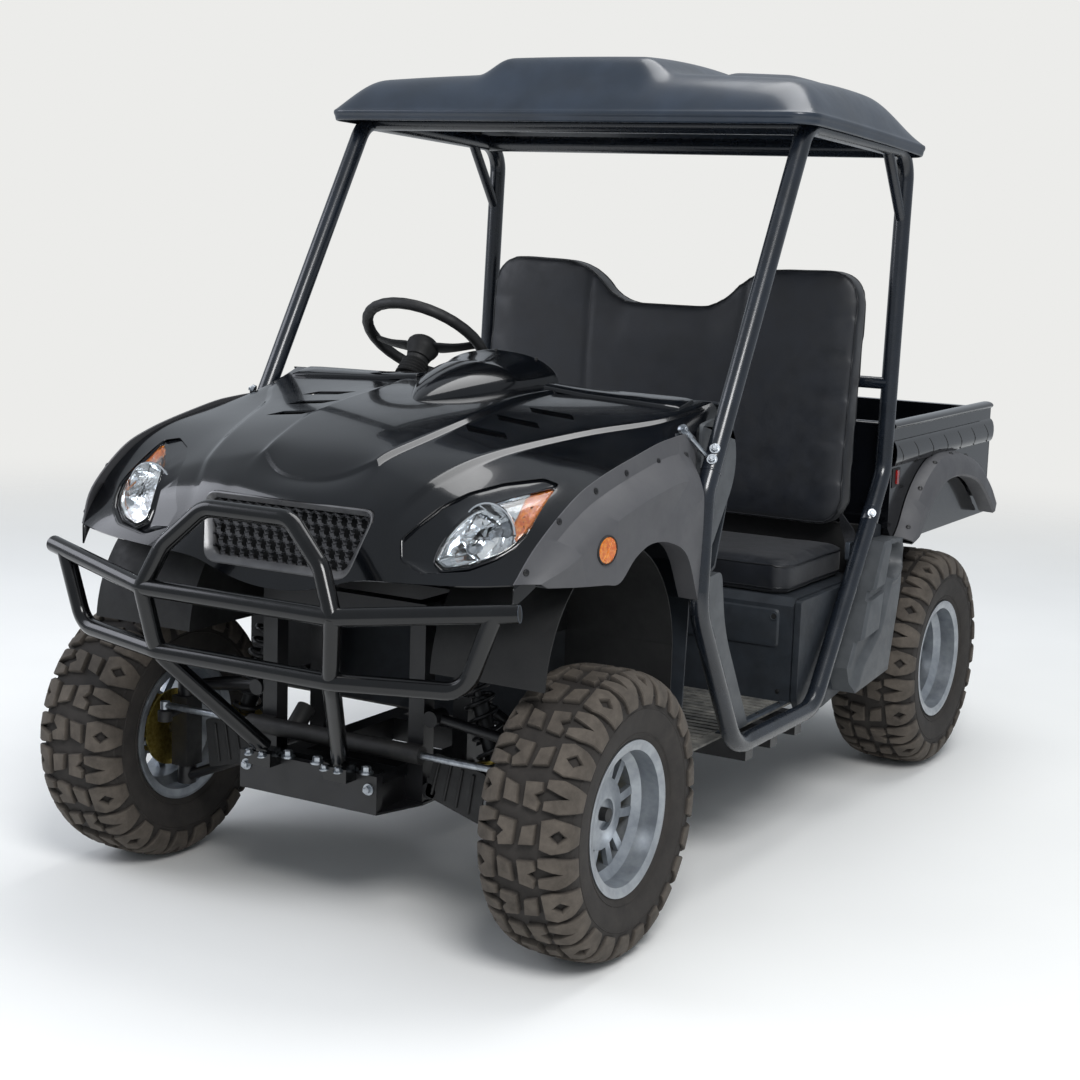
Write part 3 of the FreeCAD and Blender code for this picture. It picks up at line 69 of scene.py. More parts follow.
def add(tree, kind, settings, **links):
    """Adds a node, sets its properties and sockets by name, and links sockets into it."""
    made = tree.nodes.new(kind)
    for name, value in settings.items():
        if name in made.inputs:
            made.inputs[name].default_value = value
        else:
            setattr(made, name, value)
    for name, source in links.items():
        tree.links.new(source, made.inputs[name.replace("_", " ")])
    return made


def new_finish(name, roughness, **sockets):
    """A material with its shader's own constants set; words in socket names are joined by _."""
    made = bpy.data.materials.new(name)
    made.use_nodes = True
    tree = made.node_tree
    surface = tree.nodes["Principled BSDF"]
    surface.inputs["Roughness"].default_value = roughness
    for socket, value in sockets.items():
        surface.inputs[socket.replace("_", " ")].default_value = value
    place = add(tree, "ShaderNodeTexCoord", {})
    return made, tree, surface, place.outputs["Object"]


def ramp_between(tree, source, stops):
    """Colour along a value: stops are (position, hex)."""
    ramp = add(tree, "ShaderNodeValToRGB", {}, Fac=source)
    while len(ramp.color_ramp.elements) < len(stops):
        ramp.color_ramp.elements.new(0.5)
    for element, (position, code) in zip(ramp.color_ramp.elements, stops):
        element.position = position
        element.color = hex_colour(code)
    return ramp.outputs["Color"]


def mottle(tree, surface, place, patch, dark, light, detail=4):
    """Base colour drifting between two shades in patches of that many millimetres."""
    cloud = add(tree, "ShaderNodeTexNoise", {"Scale": 1000 / patch, "Detail": detail, "Roughness": 0.6},
                Vector=place)
    colour = ramp_between(tree, cloud.outputs["Fac"], ((0.35, dark), (0.68, light)))
    tree.links.new(colour, surface.inputs["Base Color"])


def grain(tree, surface, place, size, depth, kind="noise"):
    """Bump of that grain size and depth in millimetres."""
    if kind == "noise":
        bumps = add(tree, "ShaderNodeTexNoise", {"Scale": 1000 / size, "Detail": 2}, Vector=place)
        height = bumps.outputs["Fac"]
    else:
        bumps = add(tree, "ShaderNodeTexVoronoi", {"Scale": 1000 / size, "feature": "DISTANCE_TO_EDGE"},
                    Vector=place)
        height = bumps.outputs["Distance"]
    bump = add(tree, "ShaderNodeBump", {"Distance": depth / 1000, "Strength": 0.6}, Height=height)
    tree.links.new(bump.outputs["Normal"], surface.inputs["Normal"])


def uneven(tree, surface, place, patch, low, high):
    """Roughness drifting between two values in patches of that many millimetres."""
    cloud = add(tree, "ShaderNodeTexNoise", {"Scale": 1000 / patch, "Detail": 5, "Roughness": 0.65},
                Vector=place)
    spread = add(tree, "ShaderNodeMapRange", {"From Min": 0.3, "From Max": 0.7, "To Min": low,
                                              "To Max": high}, Value=cloud.outputs["Fac"])
    tree.links.new(spread.outputs["Result"], surface.inputs["Roughness"])


def plain_finish(name, dark, light, roughness, patch, grain_size, grain_depth, kind="noise", **sockets):
    """Drifting colour and roughness over patches, with a grain; lengths in millimetres."""
    made, tree, surface, place = new_finish(name, roughness, **sockets)
    mottle(tree, surface, place, patch, dark, light)
    grain(tree, surface, place, grain_size, grain_depth, kind)
    uneven(tree, surface, place, patch * 0.7, roughness * 0.85, roughness * 1.2)
    return made


def rubber_with_dust():
    """Vulcanised rubber, warm black without a highlight; dried soil pales the tops of the lugs."""
    made, tree, surface, place = new_finish("dusty_tyre_rubber", 0.85)
    height = add(tree, "ShaderNodeAttribute", {"attribute_name": "height"})
    cloud = add(tree, "ShaderNodeTexNoise", {"Scale": 22, "Detail": 7, "Roughness": 0.68}, Vector=place)
    rubber = ramp_between(tree, cloud.outputs["Fac"], ((0.3, "211E1C"), (0.7, "302C29")))
    soil = ramp_between(tree, cloud.outputs["Fac"], ((0.3, "484139"), (0.7, "6E655B")))
    patches = add(tree, "ShaderNodeTexNoise", {"Scale": 9, "Detail": 6, "Roughness": 0.7}, Vector=place)
    reach = add(tree, "ShaderNodeMath", {"operation": "ADD"})
    tree.links.new(height.outputs["Fac"], reach.inputs[0])
    tree.links.new(patches.outputs["Fac"], reach.inputs[1])
    amount = add(tree, "ShaderNodeMapRange", {"From Min": 0.6, "From Max": 1.55, "To Min": 0.02,
                                              "To Max": 0.62}, Value=reach.outputs[0])
    mixed = add(tree, "ShaderNodeMix", {"data_type": "RGBA"})
    tree.links.new(amount.outputs["Result"], mixed.inputs[0])
    tree.links.new(rubber, mixed.inputs[6])
    tree.links.new(soil, mixed.inputs[7])
    tree.links.new(mixed.outputs[2], surface.inputs["Base Color"])
    grain(tree, surface, place, 2.4, 0.5)
    return made


def moulded_gloss():
    """Moulded ABS under clear gloss: near black, with long mirrored bands that ripple a little."""
    made, tree, surface, place = new_finish("black_gloss_moulding", 0.12, Coat_Weight=0.45,
                                            Coat_Roughness=0.02, Specular_IOR_Level=0.3)
    mottle(tree, surface, place, 240, "050608", "0B0D11")
    uneven(tree, surface, place, 90, 0.1, 0.2)
    ripple = add(tree, "ShaderNodeTexNoise", {"Scale": 7, "Detail": 1}, Vector=place)
    bump = add(tree, "ShaderNodeBump", {"Distance": 0.0006, "Strength": 0.15}, Height=ripple.outputs["Fac"])
    tree.links.new(bump.outputs["Normal"], surface.inputs["Normal"])
    return made


def clear_lens(name, code):
    """Clear moulded polycarbonate, polished: the lamp behind it shows undimmed under sharp glints."""
    made, tree, surface, place = new_finish(name, 0.03, Transmission_Weight=1.0, IOR=1.5)
    mottle(tree, surface, place, 40, code, code)
    return made


def prism_lens(name, dark, light):
    """Tinted acrylic with moulded prisms on its inside: deep colour with glittering points."""
    made, tree, surface, place = new_finish(name, 0.12, Transmission_Weight=0.35, IOR=1.5,
                                            Coat_Weight=0.8, Coat_Roughness=0.04)
    mottle(tree, surface, place, 9, dark, light, detail=1)
    grain(tree, surface, place, 4, 0.8, "cells")
    return made


def facet_chrome():
    """Vacuum-plated reflector with pressed facets: bright, broken into many small glints."""
    made, tree, surface, place = new_finish("plated_reflector", 0.07, Metallic=1.0)
    mottle(tree, surface, place, 30, "DADDE0", "F4F5F6")
    grain(tree, surface, place, 13, 0.5, "cells")
    return made


# The grain of moulded plastic and powder coat is 0.1 to 0.5 mm wide and a weave's thread 1 mm.
# Neither would show in the view, so grains are drawn 0.8 to 3 mm wide.

GLOSS = moulded_gloss()
# Baked powder coat on steel tube: soft highlights along each tube, blue in the black
CAGE = plain_finish("blue_black_powder_coat", "0F141B", "151B24", 0.26, 80, 1.6, 0.02, Coat_Weight=0.35,
                    Coat_Roughness=0.12)
# Smoother powder coat on thick tube: deeper black and narrower highlights
BUMPER = plain_finish("black_powder_coat", "050506", "090A0B", 0.2, 60, 1.4, 0.02, Coat_Weight=0.25,
                      Coat_Roughness=0.06, Specular_IOR_Level=0.35)
# Sprayed chassis paint: black with a weak, wide sheen
FRAME = plain_finish("chassis_black_paint", "0C0C0D", "17171A", 0.38, 70, 2, 0.03)
# Pressed polyethylene sheet: dark grey blue that pales where it faces the sky
ROOF = plain_finish("dark_grey_blue_moulding", "1D2631", "26303D", 0.34, 140, 1.8, 0.03, Coat_Weight=0.25,
                    Coat_Roughness=0.15)
# Moulded polypropylene, coloured right through: flat grey, grained, no clear highlight
FLARE = plain_finish("grey_polypropylene", "47474A", "4E4E50", 0.52, 90, 1.5, 0.1)
# Moulded polyethylene: dark blue grey with a dull sheen on its edges
SLATE = plain_finish("slate_polyethylene", "1E2227", "282D33", 0.5, 60, 1.6, 0.09)
# The same moulding in mid grey, a little smoother from handling
SIDE_GREY = plain_finish("mid_grey_polyethylene", "3F4245", "4C4F52", 0.46, 60, 1.6, 0.09)
# Thin moulded liner: near black, so that wheel arches and gaps read as deep. The same near black is painted
# shade on plugs, discs and plates set in holes, tube mouths and hollows
BLACK_LINER_AND_SHADE = plain_finish("liner_black_and_painted_shade", "0B0B0C", "151515", 0.6, 60, 2, 0.08)
# Embossed vinyl: leather-like cells that break up the light on each crease. Its navy black is darkened
# further as painted shade, as if the whole seat lay in shadow
VINYL = plain_finish("black_seat_vinyl_and_painted_shade", "090C12", "0F131B", 0.46, 70, 2.6, 0.22, "cells", Sheen_Weight=0.12)
# Vinyl folded over piping: smoother, so that each welt draws a thin light line
VINYL_SEAM = plain_finish("vinyl_welt", "0C0D10", "15171B", 0.38, 20, 1.2, 0.1)
# Silver lacquer on cast aluminium: pale metal under a soft clear coat
ALLOY = plain_finish("silver_wheel_paint", "8B9096", "A3A8AD", 0.36, 35, 0.9, 0.03, Metallic=0.75,
                     Coat_Weight=0.3, Coat_Roughness=0.12)
# Bright zinc plate: small blue white glints on nuts and bolts
ZINC = plain_finish("bright_zinc_plate", "92979D", "B4B9BE", 0.34, 12, 0.8, 0.03, Metallic=1.0)
# Chromate over zinc: gold glints on hubs and spring collars
YELLOW_ZINC = plain_finish("yellow_passivated_zinc", "A98F3A", "D0BC6A", 0.34, 10, 0.8, 0.03, Metallic=1.0)
# Phosphated steel: dark metal with a blurred reflection
STEEL = plain_finish("dark_phosphated_steel", "4A5058", "646B74", 0.4, 30, 0.8, 0.03, Metallic=0.8)
# Painted sand casting: rough and nearly black
IRON = plain_finish("painted_cast_iron", "161617", "242322", 0.55, 30, 3, 0.25)
# Soft moulded foam: matt black
GRIP = plain_finish("soft_wheel_grip", "121213", "1B1B1C", 0.58, 30, 1.2, 0.12)
# Satin ABS: black with a grey edge of light
MESH_BLACK = plain_finish("satin_black_abs", "161719", "202123", 0.34, 40, 1.2, 0.04)
# Satin ABS in grey: edges of the cells stand out from the dark behind them
HONEYCOMB = plain_finish("satin_grey_abs", "47484B", "5A5B5E", 0.34, 40, 1.2, 0.03)
# Satin metal paint on ABS: greyer than the cells inside it, and brighter, as its colour also carries painted
# sunlight
BEZEL = plain_finish("grey_satin_paint_and_painted_sunlight", "545456", "636364", 0.32, 40, 1.0, 0.02, Metallic=0.25,
                     Coat_Weight=0.3, Coat_Roughness=0.1)
# Woven polyester strap: dull, with a faint rib
WEBBING = plain_finish("woven_seat_belt", "1D1E21", "2C2D31", 0.7, 6, 1.6, 0.3)
# Moulded floor under dry dust: uneven pale grey without a highlight
FLOOR = plain_finish("dusty_moulded_floor", "4A4A48", "77756F", 0.75, 45, 2.5, 0.2)
TYRE = rubber_with_dust()
CLEAR = clear_lens("clear_polycarbonate", "F2F5F8")
AMBER = prism_lens("amber_prism_lens", "E06A0A", "FF9A2A")
RED = prism_lens("red_prism_lens", "7A0B0B", "B31616")
CHROME = facet_chrome()

NODE_FINISHES = {
    "chassis_frame": FRAME, "skid_plate": FRAME, "front_bumper": BUMPER, "hood": GLOSS, "grille": MESH_BLACK,
    "headlights": CLEAR, "front_flares": FLARE, "wheel_liners": BLACK_LINER_AND_SHADE, "dash_panel": SLATE,
    "floor_pan": FLOOR, "seat_base": SLATE, "battery_pack": BLACK_LINER_AND_SHADE, "seat_cushion": VINYL,
    "seat_back": VINYL, "roll_cage": CAGE, "side_steps": CAGE, "roof": ROOF, "side_panels": SIDE_GREY,
    "front_arms": FRAME, "front_shocks": FRAME, "rear_axle": IRON, "rear_arms": FRAME,
    "rear_shocks": FRAME, "knuckle_left": IRON, "knuckle_right": IRON, "steering_rack": ZINC,
    "steering_gear": IRON, "steering_column": BLACK_LINER_AND_SHADE, "steering_wheel": GRIP, "cargo_bed": GLOSS,
    "tailgate": GLOSS, "rear_flares": FLARE, "tail_lights": RED}


def finish_nodes():
    for name, thing in nodes.items():
        if name.startswith("rim"):
            finish = ALLOY
        elif name.startswith("tyre"):
            finish = TYRE
        elif name.startswith("hub_front"):
            finish = YELLOW_ZINC
        elif name.startswith("hub_rear"):
            finish = IRON
        else:
            finish = NODE_FINISHES[name]
        thing.data.materials.clear()
        thing.data.materials.append(finish)


# Making pieces

def placed(data, name):
    """Object of a mesh, linked to the scene."""
    thing = bpy.data.objects.new(name, data)
    scene.collection.objects.link(thing)
    return thing


def mesh_of(shape, name):
    """Mesh of a bmesh, which is used up."""
    data = bpy.data.meshes.new(name)
    shape.to_mesh(data)
    shape.free()
    return data


def verts_in(parts):
    return [part for part in parts if isinstance(part, bmesh.types.BMVert)]


def fill_open(mesh):
    """Closes every open loop of a bmesh with a face."""
    bmesh.ops.holes_fill(mesh, edges=[e for e in mesh.edges if e.is_boundary])


def piece(mesh, name, finish, body="root", rounding=0, smoothing=0, wall=0, sharp=32, stands_for=(),
          turn_out=True):
    """Makes an object of a finished bmesh in metres; rounding and wall are in millimetres."""
    if turn_out:
        bmesh.ops.recalc_face_normals(mesh, faces=mesh.faces)
    data = mesh_of(mesh, name)
    thing = placed(data, name)
    data.materials.append(finish)
    data.shade_smooth()
    if not smoothing:
        data.set_sharp_from_angle(angle=math.radians(sharp))
    if wall:
        shell = thing.modifiers.new("wall", "SOLIDIFY")
        shell.thickness = wall / 1000
        shell.offset = -1
        shell.use_even_offset = wall >= 4
    if rounding:
        edge = thing.modifiers.new("edges", "BEVEL")
        edge.width = rounding / 1000
        edge.segments = 2
        edge.limit_method = "ANGLE"
        edge.angle_limit = math.radians(35)
        edge.harden_normals = True
    if smoothing:
        surface = thing.modifiers.new("surface", "SUBSURF")
        surface.levels = surface.render_levels = smoothing
    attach(thing, body)
    if stands_for:
        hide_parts(*stands_for)
    return thing


def loft(mesh, sections, closed=False):
    """Skins sections of equally many points, each extruded from the one before."""
    row = [mesh.verts.new(point) for point in sections[0]]
    links = list(zip(row, row[1:])) + ([(row[-1], row[0])] if closed else [])
    edges = [mesh.edges.new(pair) for pair in links]
    first = list(row)
    for section in sections[1:]:
        grown = bmesh.ops.extrude_edge_only(mesh, edges=edges)["geom"]
        new = set(verts_in(grown))
        row = [next(e.other_vert(v) for e in v.link_edges if e.other_vert(v) in new) for v in row]
        for vert, point in zip(row, section):
            vert.co = point
        links = list(zip(row, row[1:])) + ([(row[-1], row[0])] if closed else [])
        edges = [mesh.edges.get(pair) for pair in links]
    return first, row


def cap(mesh, ring):
    mesh.faces.new(ring)


def spline(points, steps):
    """Smooth line through the given points, with that many steps from each to the next."""
    points = [Vector(p) for p in points]
    ends = [points[0] * 2 - points[1]] + points + [points[-1] * 2 - points[-2]]
    fine = []
    for a, b, c, d in zip(ends, ends[1:], ends[2:], ends[3:]):
        for i in range(steps):
            t = i / steps
            fine.append(0.5 * (2 * b + (c - a) * t + (2 * a - 5 * b + 4 * c - d) * t * t
                               + (3 * b - a - 3 * c + d) * t * t * t))
    return fine + [points[-1]]


def curve_through(points, step):
    """Evenly spaced points on a smooth line through the given ones."""
    fine = spline(points, 24)
    lengths = [0]
    for a, b in zip(fine, fine[1:]):
        lengths.append(lengths[-1] + (b - a).length)
    count = max(2, round(lengths[-1] / step))
    found, at = [], 0
    for i in range(count + 1):
        want = lengths[-1] * i / count
        while at < len(lengths) - 2 and lengths[at + 1] < want:
            at += 1
        span = lengths[at + 1] - lengths[at] or 1
        found.append(fine[at].lerp(fine[at + 1], min(1, max(0, (want - lengths[at]) / span))))
    return found


def ring_round(centre, ahead, radius, count):
    """Points of a ring square to a direction."""
    ahead = ahead.normalized()
    side = Vector((0, 0, 1)) if abs(ahead.z) < 0.9 else Vector((0, 1, 0))
    across = ahead.cross(side).normalized()
    up = across.cross(ahead).normalized()
    return [centre + across * (radius * math.cos(math.tau * i / count))
            + up * (radius * math.sin(math.tau * i / count)) for i in range(count)]


def sweep(mesh, line, radius, count=12, closed_ends=True):
    """Carries a ring along a line of points; radius is in metres, one value or one per point."""
    rings = []
    for i, point in enumerate(line):
        ahead = line[min(i + 1, len(line) - 1)] - line[max(i - 1, 0)]
        r = radius[i] if isinstance(radius, (list, tuple)) else radius
        rings.append(ring_round(point, ahead, r, count))
    first, last = loft(mesh, rings, closed=True)
    if closed_ends:
        cap(mesh, first)
        cap(mesh, last)


def cylinder(mesh, start, finish, radius, count=24, radius_end=None):
    """Closed cylinder or cone between two points in metres."""
    run = finish - start
    place = Matrix.Translation((start + finish) / 2) @ run.to_track_quat("Z", "Y").to_matrix().to_4x4()
    bmesh.ops.create_cone(mesh, cap_ends=True, segments=count, radius1=radius,
                          radius2=radius if radius_end is None else radius_end, depth=run.length,
                          matrix=place)


def box(mesh, low, high):
    """Block between two corners in metres."""
    size = high - low
    place = Matrix.Translation((low + high) / 2) @ Matrix.Diagonal((*size, 1))
    bmesh.ops.create_cube(mesh, size=1, matrix=place)


def prism(mesh, outline, depth):
    """Face through the outline, extruded by a vector."""
    base = mesh.faces.new([mesh.verts.new(p) for p in outline])
    grown = bmesh.ops.extrude_face_region(mesh, geom=[base])["geom"]
    bmesh.ops.translate(mesh, verts=verts_in(grown), vec=depth)


def rectangle(low, high, inset=0):
    """Corners of a rectangle between two corners, drawn in by an inset."""
    return ((low[0] + inset, low[1] + inset), (high[0] - inset, low[1] + inset),
            (high[0] - inset, high[1] - inset), (low[0] + inset, high[1] - inset))


def side_plate(mesh, side, x, corners, radius, count, depth):
    """Plate with rounded corners, (y, z) each, from a distance off the middle plane outwards."""
    prism(mesh, [mm(side * x, y, z) for y, z in rounded(corners, radius, count)], mm(side * depth, 0, 0))


def bolt(mesh, spot, out, across):
    """Flanged hexagon head on a washer; across is its width in millimetres."""
    out = out.normalized()
    cylinder(mesh, spot, spot + out * across * 0.00022, across * 0.00085, 20)
    low = spot + out * across * 0.00018
    cylinder(mesh, low, low + out * across * 0.00012, across * 0.00068, 20)
    cylinder(mesh, low, low + out * across * 0.00062, across * 0.00058, 6)
    cylinder(mesh, low + out * across * 0.0006, low + out * across * 0.00072, across * 0.0005, 6,
             across * 0.00036)


def rivet(mesh, spot, out, width):
    """Push rivet: a low dome with a pin in its middle."""
    out = out.normalized()
    cylinder(mesh, spot - out * 0.001, spot + out * width * 0.00013, width * 0.0005, 16, width * 0.00044)
    cylinder(mesh, spot + out * width * 0.00013, spot + out * width * 0.00024, width * 0.00042, 16,
             width * 0.00022)
    cylinder(mesh, spot + out * width * 0.00022, spot + out * width * 0.0003, width * 0.00016, 10)


def lathe(mesh, outline, spot, axis, count=64, closed=False):
    """Turns an outline of (along the axis, radius) in millimetres round an axis through a point."""
    turn = axis.to_track_quat("Z", "Y").to_matrix().to_4x4()
    place = Matrix.Translation(spot) @ turn
    verts = [mesh.verts.new(place @ Vector((r / 1000, 0, a / 1000))) for a, r in outline]
    pairs = list(zip(verts, verts[1:])) + ([(verts[-1], verts[0])] if closed else [])
    edges = [mesh.edges.new(pair) for pair in pairs]
    bmesh.ops.spin(mesh, geom=verts + edges, cent=spot, axis=place.to_3x3() @ Vector((0, 0, 1)),
                   angle=math.tau, steps=count, use_merge=True, use_duplicate=False)
    bmesh.ops.remove_doubles(mesh, verts=mesh.verts, dist=0.00001)


# Tyres: carcass turned from one profile, lugs laid flat along the tread and then wrapped on it

CARCASS = ((82.7, 152.5), (84, 160), (88, 167), (99, 190), (105, 225), (103, 255), (95, 275), (80, 289),
           (50, 297), (0, 299))
PITCHES = 12
TREAD_RADIUS = 305
PITCH = math.tau * TREAD_RADIUS / PITCHES
LUG_HEIGHT = 13
# Lug outlines on one side of the crown: u along the tread, s out from its middle
HOLED_BLOCK = ((8, 52), (0, 75), (6, 104), (16, 134), (58, 134), (68, 104), (74, 75), (66, 52))
HOLE = ((37, 72), (24, 85), (37, 98), (50, 85))
FORKED_BLOCK = ((86, 50), (104, 50), (117, 92), (130, 50), (148, 50), (153, 80), (141, 134), (95, 134),
                (82, 80))
CENTRE_BAR = ((10, 6), (48, 12), (57, 42), (15, 40))
CENTRE_NOTCHED = ((88, 7), (137, 3), (141, 41), (122, 45), (113, 30), (99, 43), (82, 39))


def flat_lug(mesh, outline, hole, side, shift, steps=(58, 68, 78, 88, 98, 108, 118, 128)):
    """One lug with a chamfered top, its height along Z, cut at the steps across the tread."""
    lug = bmesh.new()
    loops = [outline] + ([hole] if hole else [])
    for loop in loops:
        verts = [lug.verts.new((u, s, -2)) for u, s in loop]
        for pair in zip(verts, verts[1:] + verts[:1]):
            lug.edges.new(pair)
    bmesh.ops.triangle_fill(lug, use_beauty=True, edges=lug.edges[:])
    bmesh.ops.recalc_face_normals(lug, faces=lug.faces)
    if lug.faces[:][0].normal.z < 0:
        bmesh.ops.reverse_faces(lug, faces=lug.faces)
    grown = bmesh.ops.extrude_face_region(lug, geom=lug.faces[:])["geom"]
    top = [g for g in grown if isinstance(g, bmesh.types.BMFace)]
    bmesh.ops.translate(lug, verts=verts_in(grown), vec=(0, 0, LUG_HEIGHT - 1))
    bmesh.ops.inset_region(lug, faces=top, thickness=2.6, depth=0)
    inner = {v for f in top for v in f.verts}
    bmesh.ops.translate(lug, verts=list(inner), vec=(0, 0, 3))
    for s in steps:
        if min(v[1] for v in outline) < s - 3 and max(v[1] for v in outline) > s + 3:
            bmesh.ops.bisect_plane(lug, geom=lug.verts[:] + lug.edges[:] + lug.faces[:],
                                   plane_co=(0, s, 0), plane_no=(0, 1, 0))
    for v in lug.verts:
        v.co.x += shift
        v.co.y *= side
    flat = mesh_of(lug, "lug")
    mesh.from_mesh(flat)
    bpy.data.meshes.remove(flat)


def tread_profile(stretch):
    """Fine points of half the carcass from the crown out, each with its run from the crown."""
    line = curve_through([(x * stretch, r, 0) for x, r in reversed(CARCASS)], 6)
    runs = [0]
    for a, b in zip(line, line[1:]):
        runs.append(runs[-1] + (b - a).length)
    return line, runs


def point_on_tread(line, runs, run, height):
    """Place along the axis and radius, at a run from the crown and a height over the carcass."""
    side = -1 if run < 0 else 1
    run = min(abs(run), runs[-1])
    at = max(i for i, value in enumerate(runs[:-1]) if value <= run)
    part = (run - runs[at]) / (runs[at + 1] - runs[at])
    spot = line[at].lerp(line[at + 1], part)
    if at == 0 and run < runs[1] * 0.5:
        out = Vector((0, 1, 0))
    else:
        ahead = (line[at + 1] - line[at]).normalized()
        out = Vector((-ahead.y, ahead.x, 0))
        if out.y < 0 and run < 60:
            out = -out
        if out.x < 0:
            out = -out
    return side * (spot.x + out.x * height), spot.y + out.y * height


def tyre(name, side, x, y, stretch, body):
    line, runs = tread_profile(stretch)
    lugs = bmesh.new()
    for turn in (1, -1):
        shift = 0 if turn == 1 else PITCH / 2
        flat_lug(lugs, HOLED_BLOCK, HOLE, turn, shift)
        flat_lug(lugs, FORKED_BLOCK, None, turn, shift)
        flat_lug(lugs, CENTRE_BAR, None, turn, shift, (25,))
        flat_lug(lugs, CENTRE_NOTCHED, None, turn, shift, (22,))
    one = lugs.verts[:] + lugs.edges[:] + lugs.faces[:]
    for step in range(1, PITCHES):
        copy = bmesh.ops.duplicate(lugs, geom=one)["geom"]
        bmesh.ops.translate(lugs, verts=verts_in(copy), vec=(step * PITCH, 0, 0))
    rise = lugs.verts.layers.float.new("height")
    for v in lugs.verts:
        u, s, h = v.co
        taper = 1 if abs(s) < 95 else 1 - 0.45 * min(1, (abs(s) - 95) / 40)
        along, radius = point_on_tread(line, runs, s * (1 + 0.55 * (stretch - 1)), h * taper)
        turn = u / TREAD_RADIUS
        v[rise] = max(0, h / LUG_HEIGHT)
        v.co = mm(x + side * along, y + side * radius * math.sin(turn), AXLE_Z + radius * math.cos(turn))
    carcass = bmesh.new()
    half = [(p.x, p.y) for p in line]
    outline = [(-a, r) for a, r in reversed(half[1:])] + half
    inner = [(82 * stretch - 3, 152.5), (70 * stretch, 160), (88 * stretch, 195), (94 * stretch, 225),
             (84 * stretch, 270), (0, 288)]
    outline += inner[:-1] + [(0, 288)] + [(-a, r) for a, r in reversed(inner[:-1])]
    lathe(carcass, outline, mm(x, y, AXLE_Z), Vector((1, 0, 0)), 120, closed=True)
    for radius, along, thick in ((262, 101.5, 2.2), (236, 105, 1.6), (183, 96, 2.4)):
        ring = [(along * stretch - 1, radius - 3), (along * stretch + thick, radius),
                (along * stretch - 1, radius + 3)]
        for turn in (1, -1):
            lathe(carcass, [(turn * a, r) for a, r in ring], mm(x, y, AXLE_Z), Vector((1, 0, 0)), 120,
                  closed=True)
    carcass.verts.layers.float.new("height")
    bmesh.ops.recalc_face_normals(carcass, faces=carcass.faces)
    bmesh.ops.recalc_face_normals(lugs, faces=lugs.faces)
    joined = mesh_of(carcass, "carcass")
    lugs.from_mesh(joined)
    bpy.data.meshes.remove(joined)
    piece(lugs, name + "_tread", TYRE, body, sharp=38, stands_for=[name],
          turn_out=False)


# Wheels: what shows on the alloy rims

# From the end of the hub in to the seat of its centre nut
NUT_DEPTH = 26


def wheel_fittings(name, side, x_face, y, body):
    nuts = bmesh.new()
    circle = 55
    out = Vector((side, 0, 0))
    spot = Vector((x_face, y, AXLE_Z))
    for k in range(4):
        turn = math.radians(45 + 90 * k)
        base = spot + Vector((0, circle * math.sin(turn), circle * math.cos(turn)))
        cylinder(nuts, base / 1000, (base + out * 12) / 1000, 0.0105, 6)
        cylinder(nuts, (base + out * 12) / 1000, (base + out * 21) / 1000, 0.0095, 6, 0.0075)
        cylinder(nuts, (base + out * 21) / 1000, (base + out * 24) / 1000, 0.0072, 12, 0.004)
    piece(nuts, name + "_nuts", ZINC, body, rounding=0.6)
    centre = bmesh.new()
    cylinder(centre, (spot - out * 4) / 1000, (spot + out * 10) / 1000, 0.02, 6)
    for k in range(6):
        turn = math.radians(60 * k)
        at = spot + Vector((side * 13, 13 * math.sin(turn), 13 * math.cos(turn)))
        cylinder(centre, (at - out * 5) / 1000, (at + out * 5) / 1000, 0.0042, 8)
    cylinder(centre, spot / 1000, (spot + out * NUT_DEPTH) / 1000, 0.0088, 20, 0.0082)
    piece(centre, name + "_castle_nut", YELLOW_ZINC, body, rounding=0.8)


def wheels():
    front_x = 599
    rear_x = 591
    rear_stretch = 1.12
    for side, word in SIDES:
        tyre("tyre_front_" + word, side, side * front_x, FRONT_AXLE_Y, 1.0, "wheel_front_" + word)
        tyre("tyre_rear_" + word, side, side * rear_x, REAR_AXLE_Y, rear_stretch,
             "wheel_rear_" + word)
        for end, y in (("front", FRONT_AXLE_Y), ("rear", REAR_AXLE_Y)):
            low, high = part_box("hub_%s_%s" % (end, word))
            face = (high[0] if side == LEFT else low[0]) * 1000 - side * NUT_DEPTH
            wheel_fittings("wheel_%s_%s" % (end, word), side, face, y, "wheel_%s_%s" % (end, word))


# Hood: a cage of guide points, one line per row from the low front edge to the dash,
# each (x, y, z) from the middle out; the pairs of columns 2-3 and 5-6 and rows 3-4 are creases

